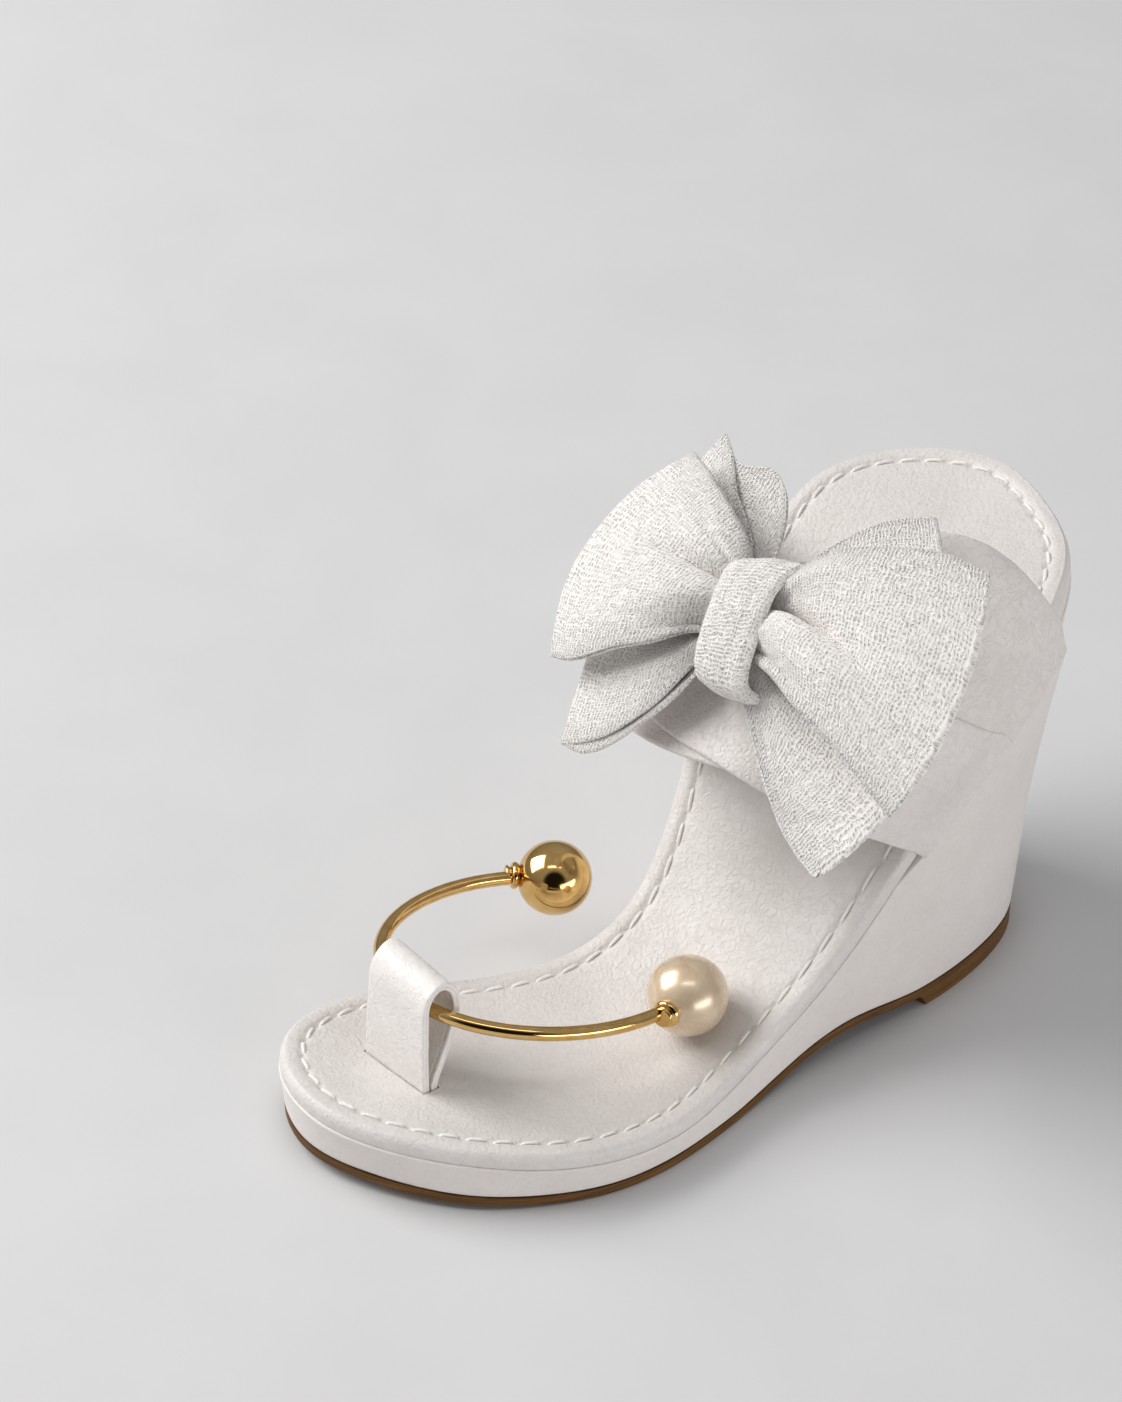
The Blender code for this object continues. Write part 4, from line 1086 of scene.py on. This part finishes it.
# Edges are (out, up) from the bow's middle. A rise is the height off the bands and half the gap
# between the plies, by the share along the loop.
GAUZE_LOOPS = {
    "gauze_front_inner": {
        "node": "bow_front_loop_inner",
        "top": ((-1, 13), (-4, 18), (-9, 22), (-15, 25), (-24, 29), (-33, 32)),
        "bottom": ((-1, 0), (-7, -3), (-12, -8), (-22, -15), (-33, -22), (-38, -23)),
        "bulge": 8.5,
        "rise": ((0, -1.0, 0.8), (0.12, 0.6, 1.8), (0.3, 2.6, 3.3), (0.6, 2.2, 3.8), (1.0, -1.8, 0.9)),
        "tilt": 1.0,
        "pleats": (
            # across at the knot and at the fold, height, width at the knot and at the fold, reach,
            # width of the lower side
            (0.1, 0.22, -4.4, 0.16, 0.2, 0.85, 0.45), (0.3, 0.4, -2.0, 0.35, 0.35, 0.9, 1.0),
            (0.7, 0.6, 1.4, 0.25, 0.35, 0.8, 1.0),
            (-0.3, -0.25, 2.6, 0.24, 0.3, 0.85, 1.0), (-0.85, -0.7, -1.4, 0.12, 0.2, 0.6, 1.0),
            (0.5, 0.72, -1.4, 0.1, 0.12, 0.7, 1.0),
        ),
        "tuck": (-0.02, 0.1, 1.5, 0.14, 0.75),
        "flat": (0.056, 0.088),
    },
    "gauze_front_outer": {
        "node": "bow_front_loop_outer",
        "top": ((4, 13), (9, 19), (15, 26), (22, 31), (30, 35), (37.5, 38), (47.4, 39.2)),
        "bottom": ((5, -1), (12, -2), (18, -3), (27, -6), (38, -8.4), (48.5, -12.2), (59, -16.2)),
        "bulge": 4.4,
        "rise": ((0, -0.9, 0.8), (0.12, 1.3, 1.8), (0.3, 3.2, 3.6), (0.6, 2.6, 4.0), (1.0, -3.2, 0.9)),
        "tilt": -1.0,
        "pleats": (
            (0.16, -0.42, -8.0, 0.14, 0.15, 0.8, 0.55), (0.4, -0.2, -2.6, 0.4, 0.35, 0.95, 0.6),
            (-0.35, -0.62, 2.6, 0.25, 0.3, 0.85, 1.0), (0.85, 0.45, 2.2, 0.25, 0.3, 0.8, 1.0),
            (0.9, 0.85, -1.3, 0.12, 0.16, 0.6, 1.0), (-0.75, -0.85, -1.4, 0.1, 0.12, 0.7, 1.0),
        ),
        "tuck": (0.02, -0.56, 1.6, 0.13, 0.62),
        "flat": (0.058, 0.112),
    },
    "gauze_back_inner": {
        "node": "bow_back_loop_inner",
        "top": ((-2, 10), (-8.1, 19.5), (-14.6, 25), (-21.4, 30), (-28, 36.5), (-33.4, 40)),
        "bottom": ((-3, -5), (-6, -13), (-10, -22), (-16, -31), (-22, -36), (-27, -38.5)),
        "rear_top": ((-1, 12), (-2.2, 21), (-6, 30), (-11.3, 35.5), (-17.5, 37.5), (-24, 35.5), (-33.4, 40)),
        "rear_bottom": ((-3, -5), (-4, -13), (-8, -22), (-14, -32), (-21, -38), (-27, -38.5)),
        "bulge": 5.0,
        "rise": ((0, -3.0, 0.8), (0.3, -5.5, 1.6), (0.7, -7.0, 1.9), (1.0, -8.5, 0.9)),
        "tilt": 0.5,
        "pleats": (
            (-0.5, -0.55, 1.8, 0.16, 0.25, 0.9, 1.0), (-0.15, -0.25, -1.6, 0.12, 0.2, 0.8, 1.0),
            (0.4, 0.45, 1.2, 0.16, 0.22, 0.8, 1.0),
        ),
        "tuck": (-0.5, -0.5, 0.0, 0.2, 0.6),
        "flat": (0.074, 0.074),
    },
    "gauze_back_outer": {
        "node": "bow_back_loop_outer",
        "top": ((2, 8), (4.3, 18.5), (8, 28), (13, 35.5), (19, 41.5), (25.4, 45.4)),
        "bottom": ((4, -4), (11, -9.5), (18.5, -16.5), (26, -22.5), (33.5, -27), (41, -30.5)),
        "rear_bottom": ((4, -4), (11, -11), (18.5, -18), (27, -25), (36, -31), (46, -35)),
        "bulge": 15.0,
        "rise": ((0, -3.0, 0.8), (0.3, -6.0, 1.6), (0.7, -8.0, 1.9), (1.0, -10.5, 0.9)),
        "tilt": 0.5,
        "pleats": (
            (-0.55, -0.6, 2.2, 0.16, 0.25, 0.9, 1.0), (-0.25, -0.35, -2.0, 0.12, 0.18, 0.8, 1.0),
            (0.5, 0.5, 1.0, 0.16, 0.22, 0.8, 1.0),
        ),
        "tuck": (-0.5, -0.5, 0.0, 0.2, 0.6),
        "flat": (0.078, 0.100),
    },
}


def gauze_finish():
    """Crinkled cotton gauze: uneven warp threads over a lower weft, crepe ridges, and painted shade in the
    gaps.
    """
    material, tree, shader, place = new_finish(
        "white_gauze_weave", 0.85, Sheen_Weight=0.7, Sheen_Roughness=0.5
    )
    cloth = put(tree, "UVMap", {}, uv_map="cloth").outputs["UV"]
    cloth = put(tree, "VectorMath", {0: cloth, "Scale": CLOTH_UNIT}, operation="SCALE").outputs[0]
    cloth = wandering(tree, cloth, 0.35, 3.0, 2.2)

    def threads(direction, scale):
        values = {"Vector": cloth, "Scale": scale, "Distortion": 1.3, "Detail": 2.0, "Detail Scale": 1.5}
        return put(tree, "TexWave", values, bands_direction=direction).outputs["Fac"]

    warp, weft = threads("X", 0.335), threads("Y", 0.365)
    woven = worked(tree, "MAXIMUM", warp, worked(tree, "MULTIPLY", weft, WEFT_LOW))
    crepe = noise(tree, stretched(tree, cloth, 0.42, 1.35, 1.0), 0.75, 3.0, 1.6)
    ridges = ramp(tree, crepe, 0.36, 0.64)
    weave = ramp(tree, woven, 0.08, 0.8)
    # Painted shade: the gaps between the threads and the valleys between the crepe ridges get a darker grey.
    gap_shade_mask = worked(tree, "ADD", weave, ramp(tree, crepe, 0.35, 0.65, 0.0, 0.5))
    colour = blend_colour(tree, ramp(tree, gap_shade_mask, 0.06, 0.4), tint(204, 195, 188), tint(255, 251, 247))
    cloud = noise(tree, place, 0.07, 3.0)
    colour = blend_colour(tree, ramp(tree, cloud, 0.4, 0.75, 0.0, 0.25), colour, tint(250, 245, 241))
    fuzz = noise(tree, cloth, 2.6, 3.0, 0.5)
    relief = bump(tree, ridges, 0.55, 0.26)
    relief = bump(tree, weave, 0.88, 0.35, relief)
    dress(tree, shader, colour, bump(tree, fuzz, 0.35, 0.06, relief))
    return material


def edge_line(points, share):
    """An edge through its points, read by the share of its length."""
    points = np.array(points, float)
    knots = run_length(points)
    return spline(knots / knots[-1], points, share)


def ply(loop, share, across, sign, top, bottom, side):
    """One ply of a folded loop: local (out, up, away) places. side is 1 in front and -1 behind."""
    top_edge, bottom_edge = edge_line(top, share), edge_line(bottom, share)
    v = across[None, :]
    s = share[:, None]
    places = bottom_edge[:, None] * (1 - v[..., None]) / 2 + top_edge[:, None] * (1 + v[..., None]) / 2
    height, half = columns(loop["rise"], share).T
    out = places[..., 0] + sign * (loop["bulge"] * (1 - v**2) - half[-1]) * s**BULGE_LATE
    half = half[:, None] * (1 - CROWN_FADE * v**2)
    pleat = 0.0
    for at_knot, at_fold, high, narrow, broad, reach, lower in loop["pleats"]:
        off = v - at_knot - (at_fold - at_knot) * s
        wide = (narrow + (broad - narrow) * s) * np.where(off < 0, lower, 1.0)
        fade = 1 - smooth_step((s - PLEAT_START) / (reach - PLEAT_START))
        pleat = pleat + high * np.exp(-((off / wide) ** 2)) * fade
    pleat = pleat * (PLEAT_IN_KNOT + (1 - PLEAT_IN_KNOT) * smooth_step(s / PLEAT_FREE))
    at_knot, at_fold, shift, wide, reach = loop["tuck"]
    over = np.exp(-(((v - at_knot - (at_fold - at_knot) * s) / wide) ** 2))
    fade = 1 - smooth_step((s - TUCK_START) / (reach - TUCK_START))
    up = places[..., 1] + shift * over * fade
    wave = CRINKLE * (np.sin(9 * s + 7 * v + side) + np.sin(17 * s - 11 * v) * np.sin(13 * v + 4 * s))
    away = height[:, None] + side * half + pleat + loop["tilt"] * v * s + wave
    return np.stack([out, up, away], axis=-1)


def to_shoe(local):
    """Places in the bow's own directions, in the shoe's frame."""
    return bow_middle + local[..., :1] * BOW_OUT + local[..., 1:2] * BOW_UP + local[..., 2:] * BOW_AWAY


def lay_cloth(piece, grid, flat):
    """Gives each point its place on the flat cloth, for the weave. The strip is the grid thickened."""
    rows, width = grid.shape[:2]
    step = np.linalg.norm(np.diff(grid, axis=0), axis=2).mean(axis=1)
    along = np.append(0, np.cumsum(step))
    across = np.linspace(-0.5, 0.5, width) * flat[0] / MM
    edge = GAUZE_THICK / 2 * np.arange(1, EDGE_STEPS)
    one_ring = np.concatenate([across, across[-1] + edge, across[::-1], across[0] - edge])
    count = len(one_ring)
    layer = piece.data.uv_layers.new(name="cloth")
    where = np.empty(len(piece.data.loops), np.int32)
    piece.data.loops.foreach_get("vertex_index", where)
    uv = np.column_stack([along[where // count], one_ring[where % count]]) / CLOTH_UNIT
    layer.data.foreach_set("uv", uv.astype(np.float32).ravel())


def build_gauze_loop(name, loop, cloth):
    sign = math.copysign(1, loop["top"][-1][0])
    share = 1 - (1 - np.linspace(0, 1, LOOP_STEPS)) ** STEPS_LATE
    across = np.sin(np.linspace(-1, 1, LOOP_ACROSS) * EDGE_CLOSE) / math.sin(EDGE_CLOSE)
    front = ply(loop, share, across, sign, loop["top"], loop["bottom"], 1)
    rear_top, rear_bottom = loop.get("rear_top", loop["top"]), loop.get("rear_bottom", loop["bottom"])
    rear = ply(loop, share, across, sign, rear_top, rear_bottom, -1)
    middle, spread = (front[-1] + rear[-1]) / 2, (front[-1] - rear[-1]) / 2
    fold = []
    for turn in np.linspace(0, math.pi, FOLD_STEPS)[1:-1]:
        round_out = np.linalg.norm(spread, axis=1) * math.sin(turn) * sign
        there = middle + spread * math.cos(turn)
        there[:, 0] += round_out
        fold.append(there)
    local = np.concatenate([front, np.stack(fold), rear[::-1]])
    grid = to_shoe(local)
    if sign < 0:
        grid = grid[:, ::-1]
    points, faces = strip_solid(grid, GAUZE_THICK)
    piece = add_piece(name, points, faces, cloth, "sandal", [loop["node"]])
    lay_cloth(piece, grid, loop["flat"])


gauze = gauze_finish()
for loop_name, loop_sizes in GAUZE_LOOPS.items():
    build_gauze_loop(loop_name, loop_sizes, gauze)

# ---------------------------------------------------------------------------------------------
# Bow knot. A band of the same gauze folded lengthwise into soft pleats, its raw edges turned under,
# drawn tight round the middle of the loops and closed behind, where it is tacked to the bands.
KNOT_FLAT = (0.028, 0.078)
KNOT_TURN = math.radians(158)
KNOT_ROWS = 90
KNOT_TURNED = 0.3
KNOT_EDGE = 0.75
KNOT_EDGE_BULGE = 0.12
KNOT_EDGE_STEPS = 8
KNOT_LEAN = 0.14
KNOT_FACE_DROP = 1.2
KNOT_SHAPE = (
    # angle from the front towards the top, out, half width, up, away, how far its right edge rises
    (-160.0, 7.6, 5.5, -3.0, -10.5, 0.1), (-120.0, 7.8, 6.1, -9.4, -7.5, 0.1),
    (-90.0, 7.8, 5.8, -11.0, -1.5, 0.1), (-70.0, 7.3, 5.6, -10.4, 2.2, 0.14),
    (-45.0, 6.3, 5.5, -7.0, 4.9, 0.25), (0.0, 4.3, 5.6, 2.6, 6.8, 0.45), (45.0, 2.1, 5.9, 11.6, 6.0, 0.45),
    (75.0, 1.6, 7.1, 17.2, 3.4, 0.38), (95.0, 1.6, 7.6, 18.9, 0.0, 0.38),
    (120.0, 2.0, 7.6, 17.3, -6.0, 0.3), (160.0, 3.0, 5.5, 10.0, -10.0, 0.1),
)
KNOT_FOLDS = (
    # across, height, width
    (-0.55, -0.2, 0.12), (-0.1, 0.5, 0.6), (0.86, 0.18, 0.06), (-0.88, 0.18, 0.06), (0.45, -0.2, 0.1),
)


def knot_section():
    """Across the band: (share of the half width, drop in millimetres) with both edges turned under."""
    face = [(share, 0.6 * abs(share) ** 5) for share in np.linspace(-1, 1, 41)]
    turn = [
        (1 + KNOT_EDGE_BULGE * math.sin(angle), KNOT_EDGE * (2 - math.cos(angle)))
        for angle in np.linspace(0, math.pi, KNOT_EDGE_STEPS)[1:]
    ]
    under = [(share, 3.0 * KNOT_EDGE) for share in np.linspace(1, KNOT_TURNED, KNOT_EDGE_STEPS)[1:]]
    side = turn + under
    return np.array([(-share, drop) for share, drop in reversed(side)] + face + side)


def build_knot():
    angles = np.linspace(-KNOT_TURN, KNOT_TURN, KNOT_ROWS)
    out, half, up, away, skew = columns(KNOT_SHAPE, np.degrees(angles)).T
    line = np.column_stack([up, away])
    along = unit(np.gradient(line, axis=0))
    outwards = np.column_stack([-along[:, 1], along[:, 0]])
    v, drop = knot_section().T
    fold = sum(
        high * np.exp(-(((v[None, :] - at - KNOT_LEAN * np.sin(angles)[:, None]) / wide) ** 2))
        for at, high, wide in KNOT_FOLDS
    )
    lift = fold * (drop < KNOT_FACE_DROP) - drop[None, :]
    local = np.stack([
        out[:, None] + half[:, None] * v,
        up[:, None] + outwards[:, :1] * lift + (skew * half)[:, None] * v,
        away[:, None] + outwards[:, 1:] * lift,
    ], axis=-1)
    grid = to_shoe(local)
    points, faces = strip_solid(grid, GAUZE_THICK)
    knot = add_piece("gauze_knot", points, faces, gauze, "sandal", ["bow_knot"])
    lay_cloth(knot, grid, KNOT_FLAT)


build_knot()

# ---------------------------------------------------------------------------------------------
# Studio. A plain pale paper floor under three soft lights: a large one from the left, a long low
# fill from the right and a small one above. The pale room round them has one dark patch on the
# near side for the metal to mirror.
FLOOR_SIZE = 6.0
SOFT_LIGHTS = (
    # name, direction (to the right, near, up), distance, size, power, colour
    ("key_light", (-0.95, -0.25, 0.8), 1.9, (1.4, 1.4), 38.0, (1.0, 0.99, 0.975)),
    ("fill_light", (0.75, 0.8, 0.12), 2.2, (2.0, 0.6), 19.0, (1.0, 1.0, 1.0)),
    ("top_light", (0.0, 0.3, 1.0), 1.5, (1.1, 0.16), 2.0, (1.0, 1.0, 1.0)),
)
ROOM_LIGHT = 0.4
ROOM_COLOURS = (
    # low down, high up, and in the dark patch
    (0.62, 0.62, 0.63, 1), (1.0, 1.0, 1.0, 1), (0.03, 0.028, 0.026, 1),
)
CAMERA_AZIMUTH = math.radians(43.893)
CAMERA_ELEVATION = math.radians(37.115)
CAMERA_ROLL = math.radians(0.58)
CAMERA_DISTANCE = 0.906924
CAMERA_TARGET = Vector((-0.022066, -0.089156, 0.09479))
CAMERA_LENS = 105.83


def build_floor():
    material, tree, shader, place = new_finish("studio_paper", 0.75, Specular_IOR_Level=0.25)
    mottle = noise(tree, place, 0.02, 5.0, 0.3)
    colour = blend_colour(tree, ramp(tree, mottle, 0.3, 0.7), tint(217, 217, 218), tint(214, 214, 215))
    dress(tree, shader, colour, bump(tree, noise(tree, place, 1.2, 4.0), 0.15, 0.1))
    half = FLOOR_SIZE / 2
    mesh = bpy.data.meshes.new("studio_floor")
    corners = [(-half, -half, 0), (half, -half, 0), (half, half, 0), (-half, half, 0)]
    mesh.from_pydata(corners, [], [(0, 1, 2, 3)])
    mesh.materials.append(material)
    floor = bpy.data.objects.new("studio_floor", mesh)
    bpy.context.scene.collection.objects.link(floor)


def add_softbox(name, direction, distance, size, power, colour):
    lamp = bpy.data.lights.new(name, "AREA")
    lamp.shape = "RECTANGLE"
    lamp.size, lamp.size_y = size
    lamp.energy = power
    lamp.color = colour
    box = bpy.data.objects.new(name, lamp)
    way = Vector(direction).normalized()
    box.location = CAMERA_TARGET + way * distance
    box.rotation_mode = "QUATERNION"
    box.rotation_quaternion = way.to_track_quat("Z", "Y")
    bpy.context.scene.collection.objects.link(box)


def build_lights():
    right = Vector((math.cos(CAMERA_AZIMUTH), math.sin(CAMERA_AZIMUTH), 0))
    near = Vector((math.sin(CAMERA_AZIMUTH), -math.cos(CAMERA_AZIMUTH), 0))
    up = Vector((0, 0, 1))
    for name, (to_right, to_near, to_up), distance, size, power, colour in SOFT_LIGHTS:
        direction = right * to_right + near * to_near + up * to_up
        add_softbox(name, direction, distance, size, power, colour)
    world = bpy.data.worlds.new("studio_room")
    world.use_nodes = True
    tree = world.node_tree
    background = tree.nodes["Background"]
    way = put(tree, "TexCoord", {}).outputs["Generated"]
    height = put(tree, "SeparateXYZ", {0: way}).outputs["Z"]
    colour = blend_colour(tree, ramp(tree, height, 0.0, 0.9), *ROOM_COLOURS[:2])
    dark_way = (near * 0.9 + up * 0.42).normalized()
    facing = put(tree, "VectorMath", {0: way, 1: dark_way}, operation="DOT_PRODUCT").outputs["Value"]
    colour = blend_colour(tree, ramp(tree, facing, 0.76, 0.9), colour, ROOM_COLOURS[2])
    tree.links.new(colour, background.inputs["Color"])
    background.inputs["Strength"].default_value = ROOM_LIGHT
    bpy.context.scene.world = world
    bpy.context.scene.view_settings.view_transform = "Standard"


def build_camera():
    sin_a, cos_a = math.sin(CAMERA_AZIMUTH), math.cos(CAMERA_AZIMUTH)
    sin_e, cos_e = math.sin(CAMERA_ELEVATION), math.cos(CAMERA_ELEVATION)
    back = Vector((sin_a * cos_e, -cos_a * cos_e, sin_e))
    right = Vector((cos_a, sin_a, 0))
    up = back.cross(right)
    rolled_right = right * math.cos(CAMERA_ROLL) + up * math.sin(CAMERA_ROLL)
    rolled_up = up * math.cos(CAMERA_ROLL) - right * math.sin(CAMERA_ROLL)
    lens = bpy.data.cameras.new("studio_camera")
    lens.lens = CAMERA_LENS
    lens.sensor_width = 36
    lens.sensor_fit = "AUTO"
    camera = bpy.data.objects.new("studio_camera", lens)
    turn = Matrix((rolled_right, rolled_up, back)).transposed()
    camera.matrix_world = Matrix.Translation(CAMERA_TARGET + back * CAMERA_DISTANCE) @ turn.to_4x4()
    bpy.context.scene.collection.objects.link(camera)
    bpy.context.scene.camera = camera


build_floor()
build_lights()
build_camera()
